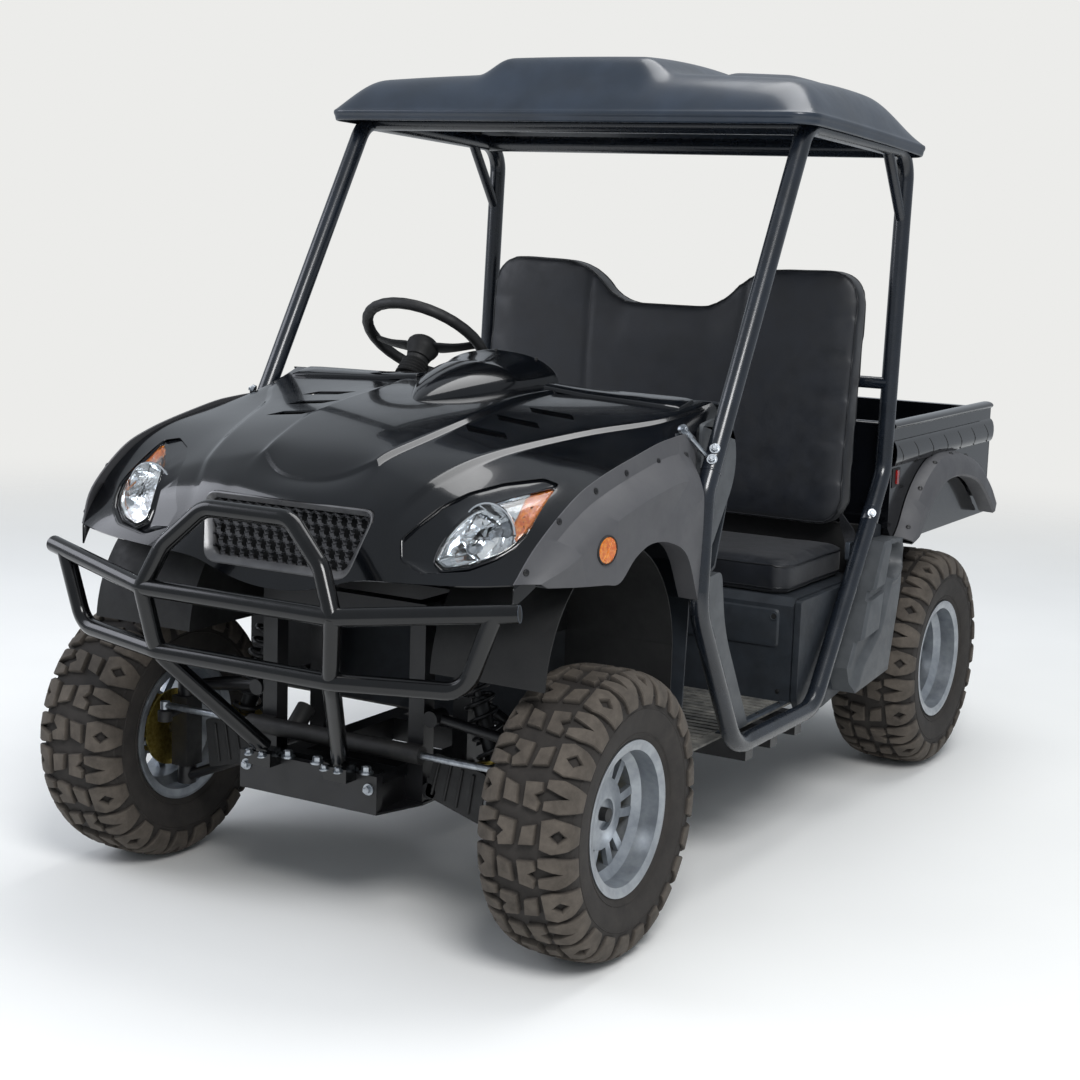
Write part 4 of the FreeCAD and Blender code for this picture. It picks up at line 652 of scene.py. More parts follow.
HOOD_CAGE = (
    ((0, -1307, 764), (84, -1305, 772), (150, -1302, 790), (165, -1301, 795), (205, -1299, 808),
     (240, -1298, 812), (252, -1298, 813), (330, -1297, 818), (421, -1295, 823), (500, -1281, 830),
     (566, -1262, 838)),
    ((0, -1285, 870), (80, -1283, 872), (156, -1278, 876), (172, -1277, 877), (215, -1272, 880),
     (262, -1274, 872), (276, -1274, 868), (338, -1278, 856), (430, -1272, 856), (512, -1243, 862),
     (585, -1225, 866)),
    ((0, -1256, 958), (82, -1254, 957), (150, -1250, 955), (165, -1249, 954), (208, -1246, 952),
     (250, -1241, 941), (264, -1242, 934), (332, -1246, 925), (432, -1214, 925), (515, -1190, 905),
     (592, -1185, 895)),
    ((0, -1204, 981), (80, -1197, 985), (150, -1150, 1022), (161, -1150, 1020), (222, -1172, 1002),
     (282, -1175, 993), (297, -1175, 985), (360, -1184, 968), (440, -1176, 957), (520, -1160, 932),
     (596, -1150, 930)),
    ((0, -1195, 991), (78, -1187, 996), (143, -1137, 1036), (157, -1137, 1028), (226, -1150, 1014),
     (292, -1148, 1006), (308, -1148, 998), (368, -1160, 979), (446, -1150, 970), (524, -1136, 948),
     (598, -1128, 948)),
    ((0, -1135, 1041), (80, -1130, 1042), (149, -1105, 1050), (162, -1105, 1040), (236, -1100, 1034),
     (307, -1095, 1028), (324, -1095, 1019), (388, -1095, 1003), (460, -1088, 996), (532, -1078, 985),
     (600, -1072, 985)),
    ((0, -1035, 1072), (86, -1033, 1071), (168, -1030, 1069), (180, -1030, 1060), (250, -1030, 1055),
     (326, -1030, 1049), (344, -1030, 1040), (408, -1030, 1026), (478, -1026, 1020), (546, -1020, 1014),
     (603, -1016, 1012)),
    ((0, -930, 1098), (92, -930, 1097), (187, -930, 1094), (199, -930, 1085), (276, -930, 1077),
     (364, -930, 1068), (383, -930, 1059), (442, -930, 1053), (505, -930, 1047), (562, -930, 1042),
     (606, -930, 1038)),
    ((0, -830, 1117), (94, -830, 1116), (190, -830, 1112), (202, -830, 1103), (298, -830, 1093),
     (404, -830, 1082), (423, -830, 1073), (472, -830, 1069), (524, -830, 1064), (568, -830, 1059),
     (607, -830, 1054)),
    ((0, -720, 1132), (93, -720, 1131), (186, -720, 1128), (198, -720, 1119), (320, -720, 1108),
     (449, -722, 1097), (468, -722, 1088), (506, -722, 1085), (544, -722, 1081), (577, -722, 1077),
     (607, -722, 1072)),
    ((0, -600, 1146), (95, -600, 1145), (184, -600, 1142), (196, -600, 1133), (362, -600, 1124),
     (548, -612, 1112), (566, -612, 1104), (578, -612, 1102), (588, -612, 1098), (597, -612, 1092),
     (606, -612, 1082)),
    ((0, -452, 1155), (110, -452, 1154), (225, -452, 1152), (237, -452, 1146), (410, -452, 1146),
     (588, -452, 1144), (596, -452, 1138), (600, -452, 1134), (603, -452, 1128), (605, -452, 1118),
     (606, -452, 1100)),
)
PANEL_COLUMNS = (2, 3)
BAND_COLUMNS = (5, 6)
PANEL_ROWS = (3, 4)


def hood_surface():
    """Outer skin of the hood on both sides, fine and smooth, as a mesh."""
    cage = bmesh.new()
    rows = []
    for row in HOOD_CAGE:
        points = [mm(*p) for p in row]
        points.append(points[-1] - mm(0, 0, 45))
        rows.append(points)
    loft(cage, rows)
    cage.verts.ensure_lookup_table()
    crease = cage.edges.layers.float.new("crease_edge")
    fold, border = 0.8, 0.9
    columns = {}
    for i, points in enumerate(rows):
        for j, point in enumerate(points):
            columns[(round(point.x, 5), round(point.y, 5), round(point.z, 5))] = (i, j)
    for edge in cage.edges:
        ends = [columns[tuple(round(c, 5) for c in v.co)] for v in edge.verts]
        (i0, j0), (i1, j1) = ends
        along = j0 == j1
        if along and j0 in PANEL_COLUMNS and min(i0, i1) >= 3:
            edge[crease] = fold
        if along and j0 in BAND_COLUMNS and min(i0, i1) >= 2:
            edge[crease] = fold
        if not along and i0 in PANEL_ROWS and max(j0, j1) <= 2:
            edge[crease] = fold
        if along and j0 == 10:
            edge[crease] = border
    bmesh.ops.mirror(cage, geom=cage.verts[:] + cage.edges[:] + cage.faces[:], axis="X", merge_dist=0.0001)
    bmesh.ops.recalc_face_normals(cage, faces=cage.faces)
    if sum(f.normal.z for f in cage.faces) < 0:
        bmesh.ops.reverse_faces(cage, faces=cage.faces)
    thing = placed(mesh_of(cage, "hood_cage"), "hood_cage")
    surface = thing.modifiers.new("surface", "SUBSURF")
    surface.levels = surface.render_levels = 3
    surface.boundary_smooth = "PRESERVE_CORNERS"
    return applied(thing)


def applied(thing):
    """Mesh of an object with its modifiers carried out; the object is removed."""
    bpy.context.view_layer.update()
    evaluated = thing.evaluated_get(bpy.context.evaluated_depsgraph_get())
    result = bpy.data.meshes.new_from_object(evaluated)
    old = thing.data
    bpy.data.objects.remove(thing)
    bpy.data.meshes.remove(old)
    return result


def shell_of(surface, depth):
    """Closed wall under a surface, that many millimetres deep."""
    mesh = bmesh.new()
    mesh.from_mesh(surface)
    bmesh.ops.solidify(mesh, geom=mesh.faces[:], thickness=depth / 1000)
    bmesh.ops.recalc_face_normals(mesh, faces=mesh.faces)
    return mesh


def cut_with(mesh, cutters):
    """Cuts closed bmeshes out of one; returns a mesh."""
    thing = placed(mesh_of(mesh, "cut"), "cut")
    tools = []
    for cutter in cutters:
        bmesh.ops.recalc_face_normals(cutter, faces=cutter.faces)
        tool = placed(mesh_of(cutter, "cutter"), "cutter")
        tools.append(tool)
        step = thing.modifiers.new("cut", "BOOLEAN")
        step.operation = "DIFFERENCE"
        step.solver = "EXACT"
        step.object = tool
    result = applied(thing)
    for tool in tools:
        tool_data = tool.data
        bpy.data.objects.remove(tool)
        bpy.data.meshes.remove(tool_data)
    return result


def smooth_like(data, surface):
    """Gives a cut mesh the normals of the smooth surface that it was cut from."""
    reach = 0.0008
    source = bmesh.new()
    source.from_mesh(surface)
    source.normal_update()
    bmesh.ops.triangulate(source, faces=source.faces[:])
    source.faces.ensure_lookup_table()
    tree = BVHTree.FromBMesh(source)
    data.shade_smooth()
    data.set_sharp_from_angle(angle=math.radians(30))
    normals = [tuple(n.vector) for n in data.corner_normals]
    for polygon in data.polygons:
        for loop in polygon.loop_indices:
            spot = data.vertices[data.loops[loop].vertex_index].co
            found, normal, index, distance = tree.find_nearest(spot)
            if distance > reach or abs(normal.dot(polygon.normal)) < 0.9:
                continue
            face = source.faces[index]
            weights = barycentric(found, [v.co for v in face.verts])
            mixed = sum((v.normal * w for v, w in zip(face.verts, weights)), Vector())
            if normal.dot(polygon.normal) < 0:
                mixed = -mixed
            if mixed.dot(polygon.normal) > 0.9 * mixed.length:
                normals[loop] = tuple(mixed.normalized())
    data.normals_split_custom_set(normals)
    source.free()


def barycentric(point, corners):
    a, b, c = corners
    whole = (b - a).cross(c - a).length or 1
    wa = (b - point).cross(c - point).length / whole
    wb = (c - point).cross(a - point).length / whole
    return wa, wb, max(0, 1 - wa - wb)


def rounded(corners, radius, count=5):
    """Outline in a plane with its corners rounded: corners are pairs, in order."""
    found = []
    total = len(corners)
    for i, corner in enumerate(corners):
        before = Vector((*corners[i - 1], 0))
        here = Vector((*corner, 0))
        after = Vector((*corners[(i + 1) % total], 0))
        r = radius[i] if isinstance(radius, (list, tuple)) else radius
        a = here + (before - here).normalized() * r
        b = here + (after - here).normalized() * r
        for k in range(count + 1):
            t = k / count
            spot = a.lerp(here, t).lerp(here.lerp(b, t), t)
            found.append((spot.x, spot.y))
    return found


LAMP_EDGE = ((306, 858), (292, 897), (312, 921), (346, 966), (377, 990), (422, 1007), (487, 1018),
             (529, 1010), (539, 921), (526, 893), (505, 873), (458, 849), (366, 837))
GRILLE_EDGE = ((-226, 948), (226, 948), (187, 803), (-187, 803))
# Hood vents: middle y of each slot and its inner and outer end, and the height of its floor
VENTS = ((-692, 252, 362), (-791, 226, 332), (-893, 210, 312))
VENT_FLOORS = (1092, 1080, 1067)


def hood_cutters():
    cutters = []
    grille_hole = bmesh.new()
    prism(grille_hole, [mm(x, -1400, z) for x, z in rounded(GRILLE_EDGE, 32)], mm(0, 230, 0))
    cutters.append(grille_hole)
    for side in (LEFT, RIGHT):
        lamp_hole = bmesh.new()
        prism(lamp_hole, [mm(side * x, -1400, z) for x, z in rounded(LAMP_EDGE, 7, 3)], mm(0, 440, 0))
        cutters.append(lamp_hole)
        for y, x_in, x_out in VENTS:
            slot = bmesh.new()
            corners = rounded(((x_in + 16, y - 17), (x_out + 16, y - 17), (x_out - 12, y + 17),
                               (x_in - 12, y + 17)), 5, 3)
            prism(slot, [mm(side * x, at, 1040) for x, at in corners], mm(0, 0, 200))
            cutters.append(slot)
    return cutters


def hood():
    surface = hood_surface()
    shell = cut_with(shell_of(surface, 4), hood_cutters())
    smooth_like(shell, surface)
    shell.name = "hood_skin"
    shell.materials.clear()
    shell.materials.append(GLOSS)
    thing = placed(shell, "hood_skin")
    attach(thing, "root")
    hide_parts("hood")
    return surface


# Vents: black mesh floor and upright slats under each slot

def vents():
    floor = bmesh.new()
    for side in (LEFT, RIGHT):
        for (y, x_in, x_out), drop in zip(VENTS, VENT_FLOORS):
            box(floor, mm(min(side * (x_in - 16), side * (x_out + 20)), y - 20, drop - 3),
                mm(max(side * (x_in - 16), side * (x_out + 20)), y + 20, drop))
            for k in range(9):
                x = x_in + (x_out - x_in) * (k + 0.5) / 9
                box(floor, mm(side * x - 1.5, y - 17, drop), mm(side * x + 1.5, y + 17, drop + 7))
    piece(floor, "hood_vent_slats", MESH_BLACK)


# Grille: honeycomb cells in a bevelled frame, leaning with the nose

def grille():
    low_z, top_z = 805, 946
    lean = (1297 - 1245) / (top_z - low_z)
    cells = bmesh.new()
    pitch = 25.5
    wall = 0.0031
    cell_depth = 14
    ring = pitch / math.sqrt(3)
    for row in range(-1, 8):
        for column in range(-11, 12):
            x = (column + (0.5 if row % 2 else 0)) * pitch
            z = low_z + row * pitch * math.sqrt(3) / 2
            if abs(x) > 190 + (z - low_z) * 0.27 + pitch:
                continue
            cell = bmesh.ops.create_circle(cells, cap_ends=True, segments=6, radius=ring / 1000,
                                           matrix=Matrix.Translation(mm(x, 0, z))
                                           @ Matrix.Rotation(math.radians(90), 4, "X")
                                           @ Matrix.Rotation(math.radians(30), 4, "Z"))["verts"]
            face = next(f for f in cell[0].link_faces if all(v in cell for v in f.verts))
            bmesh.ops.inset_region(cells, faces=[face], thickness=wall, depth=0)
            walls = bmesh.ops.extrude_face_region(cells, geom=[face])["geom"]
            back = verts_in(walls)
            bmesh.ops.translate(cells, verts=back, vec=mm(0, cell_depth, 0))
            bmesh.ops.delete(cells, geom=[g for g in walls if isinstance(g, bmesh.types.BMFace)
                                          and all(v in back for v in g.verts)], context="FACES")
            if face.is_valid:
                bmesh.ops.delete(cells, geom=[face], context="FACES_ONLY")
    top_x, low_x = 214, 178
    across = Vector((top_x - low_x, 0, top_z - low_z)).normalized()
    for spot, out in ((mm(0, 0, top_z - 6), Vector((0, 0, 1))), (mm(0, 0, low_z + 6), Vector((0, 0, -1))),
                      (mm(low_x, 0, low_z), Vector((across.z, 0, -across.x))),
                      (mm(-low_x, 0, low_z), Vector((-across.z, 0, -across.x)))):
        bmesh.ops.bisect_plane(cells, geom=cells.verts[:] + cells.edges[:] + cells.faces[:],
                               plane_co=spot, plane_no=out, clear_outer=True)
    for v in cells.verts:
        v.co.y += (-1289 + (v.co.z * 1000 - low_z) * lean) / 1000
    bmesh.ops.remove_doubles(cells, verts=cells.verts, dist=0.0002)
    piece(cells, "grille_honeycomb", HONEYCOMB)
    frame_mesh = bmesh.new()
    rings = []
    for margin, depth in ((1.5, 6), (1.5, -2), (-1.5, -3.5), (-13, 8), (-14, 12), (-14, 26)):
        corners = ((-224 - margin, top_z + margin), (224 + margin, top_z + margin),
                   (186 + margin, low_z - margin), (-186 - margin, low_z - margin))
        rings.append([mm(x, -1297 + (z - low_z) * lean + depth, z)
                      for x, z in rounded(corners, 32 + margin)])
    loft(frame_mesh, rings, closed=True)
    piece(frame_mesh, "grille_surround", BEZEL, sharp=40, stands_for=["grille"],
          wall=1.5)
    # Black plate behind the cells: painted shade in the hollow behind the grille
    back = bmesh.new()
    prism(back, [mm(x, -1297 + (z - low_z) * lean + 40, z) for x, z in rounded(GRILLE_EDGE, 32)],
          mm(0, 3, 0))
    piece(back, "grille_shade", BLACK_LINER_AND_SHADE)


# Front flares: rails along the arch, each (x, y, z) from the front tip to the rear foot

FLARE_RAILS = (
    ((566, -1264, 838), (586, -1212, 912), (600, -1100, 990), (605, -1000, 1027), (609, -850, 1059),
     (609, -700, 1082), (606, -562, 1074), (606, -560, 960), (606, -602, 720)),
    ((576, -1246, 838), (596, -1190, 895), (609, -1088, 960), (614, -992, 994), (617, -850, 1025),
     (617, -706, 1046), (614, -600, 1034), (613, -592, 950), (613, -612, 720)),
    ((592, -1232, 838), (622, -1172, 884), (640, -1078, 940), (645, -986, 974), (647, -850, 1003),
     (647, -714, 1020), (646, -622, 1002), (645, -606, 930), (642, -614, 720)),
    ((604, -1222, 838), (636, -1160, 872), (654, -1068, 922), (661, -980, 954), (664, -852, 981),
     (664, -722, 996), (662, -634, 976), (660, -614, 905), (656, -617, 720)),
    ((606, -1200, 827), (634, -1130, 822), (654, -1050, 817), (661, -998, 815), (662, -935, 858),
     (662, -862, 879), (662, -770, 868), (662, -690, 828), (658, -622, 720)),
    ((560, -1196, 826), (600, -1126, 821), (606, -1048, 817), (608, -1000, 817), (608, -937, 862),
     (608, -862, 883), (608, -768, 872), (608, -686, 830), (608, -618, 720)),
)


def front_flares():
    for side, word in SIDES:
        skin = bmesh.new()
        rows = []
        for rail in FLARE_RAILS:
            rows.append([mm(side * p.x, p.y, p.z) for p in spline(rail, 6)])
        loft(skin, rows)
        piece(skin, "front_flare_" + word, FLARE, rounding=2.2, wall=4, sharp=40,
              stands_for=["front_flares"])


# Headlamps: gloss rim in the recess, clear lens, plated bucket with a deep bowl, amber end

LENS_EDGE = ((378, 862), (380, 888), (388, 912), (399, 937), (414, 958), (444, 974), (492, 992),
             (526, 1003), (532, 925), (520, 900), (500, 882), (455, 861), (402, 849))
AMBER_EDGE = ((484, 984), (523, 998), (528, 930), (515, 906), (497, 930))
BOWL = (447, -1168, 915)
BOWL_RADIUS = 61


def tree_of(surface):
    shape = bmesh.new()
    shape.from_mesh(surface)
    tree = BVHTree.FromBMesh(shape)
    shape.free()
    return tree


def depth_at(tree, x, z):
    """Y of the hood's skin straight ahead of a point of the front view, in millimetres."""
    found = tree.ray_cast(mm(x, -1500, z), Vector((0, 1, 0)))[0]
    if found is None:
        found = tree.find_nearest(mm(x, -1100, z))[0]
    return found.y * 1000


def grown(outline, by):
    """Outline moved outwards from its middle."""
    centre = sum((Vector(p) for p in outline), Vector((0, 0))) / len(outline)
    found = []
    for point in outline:
        reach = Vector(point) - centre
        found.append(tuple(centre + reach * (1 + by / reach.length)))
    return found


def shrunk(outline, share):
    """Outline drawn in towards its middle."""
    centre = sum((Vector(p) for p in outline), Vector((0, 0))) / len(outline)
    return [tuple(centre.lerp(Vector(p), share)) for p in outline]


def lamp_ring(tree, side, outline, inwards, deepest=None):
    """Ring of points of an outline, that far behind the skin."""
    ring = []
    for x, z in rounded(outline, 7, 3):
        y = depth_at(tree, x, z) + inwards
        if deepest is not None:
            y = max(y, deepest)
        ring.append(mm(side * x, y, z))
    return ring


def headlamps(surface):
    tree = tree_of(surface)
    for side, word in SIDES:
        rim = bmesh.new()
        loft(rim, [lamp_ring(tree, side, grown(LAMP_EDGE, -0.6), 3),
                   lamp_ring(tree, side, grown(LAMP_EDGE, -2), 11),
                   lamp_ring(tree, side, grown(LENS_EDGE, 9), 17),
                   lamp_ring(tree, side, grown(LENS_EDGE, 6), 12),
                   lamp_ring(tree, side, grown(LENS_EDGE, 2), 10),
                   lamp_ring(tree, side, LENS_EDGE, 13),
                   lamp_ring(tree, side, LENS_EDGE, 24)], closed=True)
        piece(rim, "headlamp_rim_" + word, GLOSS, wall=1.5, sharp=50,
              stands_for=["headlights"] if side == LEFT else ())
        bucket = bmesh.new()
        inner = grown(LENS_EDGE, -4)
        last = loft(bucket, [lamp_ring(tree, side, grown(LENS_EDGE, -1), 16),
                             lamp_ring(tree, side, grown(LENS_EDGE, -3), 26),
                             lamp_ring(tree, side, inner, 40, -1128),
                             lamp_ring(tree, side, grown(inner, -3), 44, -1124)], closed=True)[1]
        cap(bucket, last)
        piece(bucket, "headlamp_bucket_" + word, CHROME, wall=1.5, sharp=30)
        bowl = bmesh.new()
        centre = mm(side * BOWL[0], BOWL[1], BOWL[2])
        outline = [(-2, BOWL_RADIUS + 3.5), (2, BOWL_RADIUS + 3.5), (3, BOWL_RADIUS)]
        for k in range(11):
            reach = BOWL_RADIUS * (1 - k / 10)
            outline.append((1.5 - 42 * (1 - (reach / BOWL_RADIUS) ** 2), max(reach, 0.01)))
        lathe(bowl, outline, centre, AHEAD, 40)
        piece(bowl, "headlamp_bowl_" + word, CHROME, wall=1.2, sharp=30)
        bulb = bmesh.new()
        lathe(bulb, [(-38, 9), (-22, 9), (-20, 12), (-4, 12), (-1, 10), (0, 0.01)], centre, AHEAD, 24)
        side_lamp = mm(side * 424, -1196, 884)
        lathe(bulb, [(-26, 11), (0, 13), (1.5, 11), (-4, 9), (-6, 0.01)], side_lamp, AHEAD, 24)
        piece(bulb, "headlamp_bulbs_" + word, ZINC)
        lens = bmesh.new()
        last = loft(lens, [lamp_ring(tree, side, shrunk(grown(LENS_EDGE, 1.2), share), 11)
                           for share in (1, 0.86, 0.7, 0.52, 0.34, 0.16)], closed=True)[1]
        cap(lens, last)
        piece(lens, "headlamp_lens_" + word, CLEAR, wall=2.5, sharp=60)
        amber = bmesh.new()
        last = loft(amber, [lamp_ring(tree, side, shrunk(AMBER_EDGE, share), 16)
                            for share in (1, 0.75, 0.45, 0.2)], closed=True)[1]
        cap(amber, last)
        piece(amber, "headlamp_turn_lens_" + word, AMBER, wall=4, sharp=60)


# Hump of the hood: a dome that widens into an open arch over the dials

HUMP = (
    # y, half width, foot z, height
    (-776, 5, 1120, 4), (-766, 20, 1121, 10), (-740, 41, 1124, 22), (-706, 64, 1127, 34),
    (-662, 88, 1132, 46), (-612, 110, 1137, 55), (-570, 124, 1142, 59), (-541, 132, 1145, 60),
    (-536, 133.5, 1145, 58.5), (-500, 144, 1147, 60), (-464, 155, 1149, 64), (-436, 163, 1150, 68),
    (-424, 166, 1151, 71),
)


def arch_row(y, half, foot, height):
    points = []
    for k in range(25):
        turn = math.pi * k / 24
        across = math.cos(turn)
        up = math.sin(turn) ** 0.82
        points.append(mm(half * across, y, foot - 7 + (height + 7) * up))
    return points


def hump():
    shell = bmesh.new()
    rows = [arch_row(*row) for row in HUMP]
    y, half, foot, height = HUMP[-1]
    rows.append(arch_row(y + 5, half + 3, foot, height + 2))
    rows.append(arch_row(y + 9, half + 2, foot, height + 1))
    rows.append(arch_row(y + 9, half - 3, foot, height - 5))
    rows.append(arch_row(y - 14, half - 9, foot, height - 12))
    rows.append(arch_row(y - 60, half - 22, foot - 8, height - 26))
    loft(shell, rows)
    bmesh.ops.holes_fill(shell, edges=[e for e in shell.edges if e.is_boundary and e.calc_length() > 0.25])
    crease = shell.edges.layers.float.new("crease_edge")
    crease_y = -0.541
    for edge in shell.edges:
        if all(abs(v.co.y - crease_y) < 0.0008 for v in edge.verts):
            edge[crease] = 0.9
    piece(shell, "hood_hump", GLOSS, smoothing=1)
    clips = bmesh.new()
    for across in (-0.06, 0.62):
        turn = math.acos(across)
        up = math.sin(turn) ** 0.82
        spot = mm((half + 2) * across, y + 3, foot - 7 + (height + 8) * up)
        cylinder(clips, spot - mm(0, 0, 3), spot + mm(across * 2, 0, 3.4), 0.005, 16, 0.0038)
    piece(clips, "hood_hump_clips", BLACK_LINER_AND_SHADE)
    dials = bmesh.new()
    rows = [arch_row(y - 34, half - 20, foot - 6, height - 22),
            arch_row(y - 36, half - 26, foot, height - 30),
            arch_row(y - 42, half - 28, foot + 2, height - 33)]
    first, last = loft(dials, rows)
    cap(dials, last)
    cap(dials, list(reversed(first)))
    piece(dials, "instrument_bezel", MESH_BLACK, sharp=30)
    glass = bmesh.new()
    first, last = loft(glass, [arch_row(y - 38, half - 34, foot + 6, height - 42),
                               arch_row(y - 37, half - 36, foot + 8, height - 45)])
    cap(glass, last)
    piece(glass, "instrument_glass", GLOSS, sharp=30, wall=1)


# Cowl: raised plinths along the back edge of the hood, one each side of the hump

def plinths(surface):
    tree = tree_of(surface)
    for side, word in SIDES:
        rows = []
        for x, front, lift in ((178, -505, 5), (181, -512, 9), (300, -520, 9), (420, -528, 9),
                               (500, -534, 9), (534, -536, 8), (546, -532, 5)):
            row = []
            for y, rise in ((front, -3), (front + 1.5, lift * 0.6), (front + 9, lift),
                            (-466, lift), (-457, lift * 0.6), (-455, -6)):
                found = tree.ray_cast(mm(side * x, y, 1500), Vector((0, 0, -1)))[0]
                z = found.z * 1000 if found else 1140
                row.append(mm(side * x, y, z + rise))
            rows.append(row)
        slab = bmesh.new()
        first, last = loft(slab, rows)
        cap(slab, first)
        cap(slab, last)
        fill_open(slab)
        piece(slab, "cowl_plinth_" + word, GLOSS, rounding=1.6, sharp=28)


# Roof: one moulding with a lip, a centre hump and two flat ridges behind the brow

ROOF_HALF = 690
ROOF_FRONT = -205
ROOF_REAR = 604
ROOF_CORNER = 60


def eased(value):
    value = min(1, max(0, value))
    return value * value * (3 - 2 * value)


def brow(distance, width, power=2.4):
    """Rise from the lip, steep at first and level at the width."""
    return 1 - (1 - min(1, max(0, distance) / width)) ** power


def roof_lip(y):
    return 1806 - 50 * ((y - ROOF_FRONT) / (ROOF_REAR - ROOF_FRONT)) ** 1.25


def roof_height(x, y):
    lip = roof_lip(y)
    across = abs(x)
    rise = brow(ROOF_HALF - across, 120) * brow(y - ROOF_FRONT, 125, 2.2) * brow(ROOF_REAR - y, 250, 1.9)
    top = 1884 + 22 * (1 - (across / ROOF_HALF) ** 2) - 0.00013 * (y - 60) ** 2
    along = eased((y + 178) / 90) * eased((585 - y) / 150)
    top += 40 * (1 - eased((across - 196) / 88)) * along
    side_run = eased((y - 40) / 60) * eased((560 - y) / 120)
    top += 15 * eased((across - 318) / 30) * (1 - eased((across - 500) / 50)) * side_run
    return lip + (top - lip) * rise


def corner_in(x, y, left, low, high):
    """Rounds the corners of a rectangle of points in plan."""
    r = ROOF_CORNER
    a = (abs(x) - (left - r)) / r
    b = (y - (high - r)) / r if y > 0 else ((low + r) - y) / r
    if a <= 0 or b <= 0:
        return x, y
    a2 = a * math.sqrt(1 - b * b / 2)
    b2 = b * math.sqrt(1 - a * a / 2)
    new_x = math.copysign(left - r + r * a2, x)
    new_y = high - r + r * b2 if y > 0 else low + r - r * b2
    return new_x, new_y


def roof():
    skin = bmesh.new()
    bmesh.ops.create_grid(skin, x_segments=92, y_segments=60, size=0.5)
    middle = (ROOF_FRONT + ROOF_REAR) / 2
    span = ROOF_REAR - ROOF_FRONT
    for v in skin.verts:
        share_x = 2 * v.co.x
        share_y = 2 * v.co.y
        x = ROOF_HALF * math.copysign(1 - (1 - abs(share_x)) ** 1.35, share_x)
        y = middle + span / 2 * math.copysign(1 - (1 - abs(share_y)) ** 1.3, share_y)
        z = roof_height(x, y)
        x, y = corner_in(x, y, ROOF_HALF, ROOF_FRONT, ROOF_REAR)
        v.co = mm(x, y, z)
    border = [e for e in skin.edges if e.is_boundary]
    for out, down in ((3.5, -1.5), (5, -6), (4, -12), (0.5, -16), (0, -27), (-5, -30)):
        grown_edges = bmesh.ops.extrude_edge_only(skin, edges=border)["geom"]
        rim = verts_in(grown_edges)
        border = [g for g in grown_edges if isinstance(g, bmesh.types.BMEdge)
                  and all(v in rim for v in g.verts)]
        ends = (ROOF_HALF - ROOF_CORNER, ROOF_FRONT + ROOF_CORNER, ROOF_REAR - ROOF_CORNER)
        for v in rim:
            x = v.co.x * 1000
            y = v.co.y * 1000
            inner = Vector((min(ends[0], max(-ends[0], x)), min(ends[2], max(ends[1], y)), 0))
            reach = Vector((x, y, 0)) - inner
            away = reach.normalized()
            spot = inner + away * (ROOF_CORNER + out)
            v.co = mm(spot.x, spot.y, roof_lip(min(ROOF_REAR, max(ROOF_FRONT, y))) + down)
    piece(skin, "roof_skin", ROOF, wall=4, smoothing=1, stands_for=["roof"])
    pads = bmesh.new()
    for side in (LEFT, RIGHT):
        for y in (20, 430):
            rail = 1780 - 36 * (y + 104) / 684
            box(pads, mm(side * 636 - 16, y - 28, rail + 12),
                mm(side * 636 + 16, y + 28, roof_height(655, y) - 5))
    piece(pads, "roof_clamp_pads", BLACK_LINER_AND_SHADE, rounding=3)


# Bench seat: padding blown up as cloth inside a vinyl cover, then its seams and welts

BACK_FOOT = (395, 730)
BACK_HEAD = (462, 1447)
BACK_LEAN = math.atan2(BACK_HEAD[0] - BACK_FOOT[0], BACK_HEAD[1] - BACK_FOOT[1])
BACK_DEPTH = 92
# Outline of the back in its own plane, with the radius of each corner
BACK_OUTLINE = ((588, 0), (588, 717), (262, 717), (152, 606), (-152, 606), (-262, 717), (-588, 717),
                (-588, 0))
BACK_RADII = (92, 104, 96, 70, 70, 96, 104, 92)
CUSHION_LOW = (-588, 60, 610)
CUSHION_HIGH = (588, 470, 702)
SEAM_X = 232


def back_place(across, up, depth):
    """Point of the seat back from its own plane: across, up the back, and back from its face."""
    return mm(across, BACK_FOOT[0] + up * math.sin(BACK_LEAN) + depth * math.cos(BACK_LEAN),
              BACK_FOOT[1] + up * math.cos(BACK_LEAN) - depth * math.sin(BACK_LEAN))


def seam_at(seam, rise):
    """Seams of the back spread apart as they rise."""
    return seam + (rise - 350) * 0.035 * math.copysign(1, seam)


def blown_up(mesh, voxel, reach, keep):
    """Swells a closed form as cloth under pressure; reach caps each point's way, keep limits it."""
    thing = placed(mesh_of(mesh, "padding"), "padding")
    cells = thing.modifiers.new("cells", "REMESH")
    cells.mode = "VOXEL"
    cells.voxel_size = voxel / 1000
    data = applied(thing)
    start = [v.co.copy() for v in data.vertices]
    thing = placed(data, "padding")
    cloth = thing.modifiers.new("cloth", "CLOTH")
    cloth.settings.quality = 4
    cloth.settings.use_pressure = True
    cloth.settings.uniform_pressure_force = 4
    cloth.settings.effector_weights.gravity = 0
    settled = 20
    for step in range(1, settled + 1):
        scene.frame_set(step)
    evaluated = thing.evaluated_get(bpy.context.evaluated_depsgraph_get())
    swollen = [v.co.copy() for v in evaluated.data.vertices]
    thing.modifiers.remove(cloth)
    scene.frame_set(1)
    for v, a, b in zip(data.vertices, start, swollen):
        way = b - a
        if way.length > reach / 1000:
            way *= reach / 1000 / way.length
        v.co = keep(a + way)
    result = bmesh.new()
    result.from_mesh(data)
    bpy.data.objects.remove(thing)
    bpy.data.meshes.remove(data)
    for _ in range(3):
        bmesh.ops.smooth_vert(result, verts=result.verts, factor=0.5, use_axis_x=True, use_axis_y=True,
                              use_axis_z=True)
    return result


def welt(mesh, tree, line, radius):
    """Sewn piping laid on a surface along a line of points, sunk in a little."""
    sink = 0.4
    path = []
    for point in line:
        found, normal = tree.find_nearest(point)[:2]
        path.append(found - normal * sink / 1000)
    sweep(mesh, path + path[:1], radius / 1000, count=8, closed_ends=False)
    bmesh.ops.remove_doubles(mesh, verts=mesh.verts, dist=0.00002)


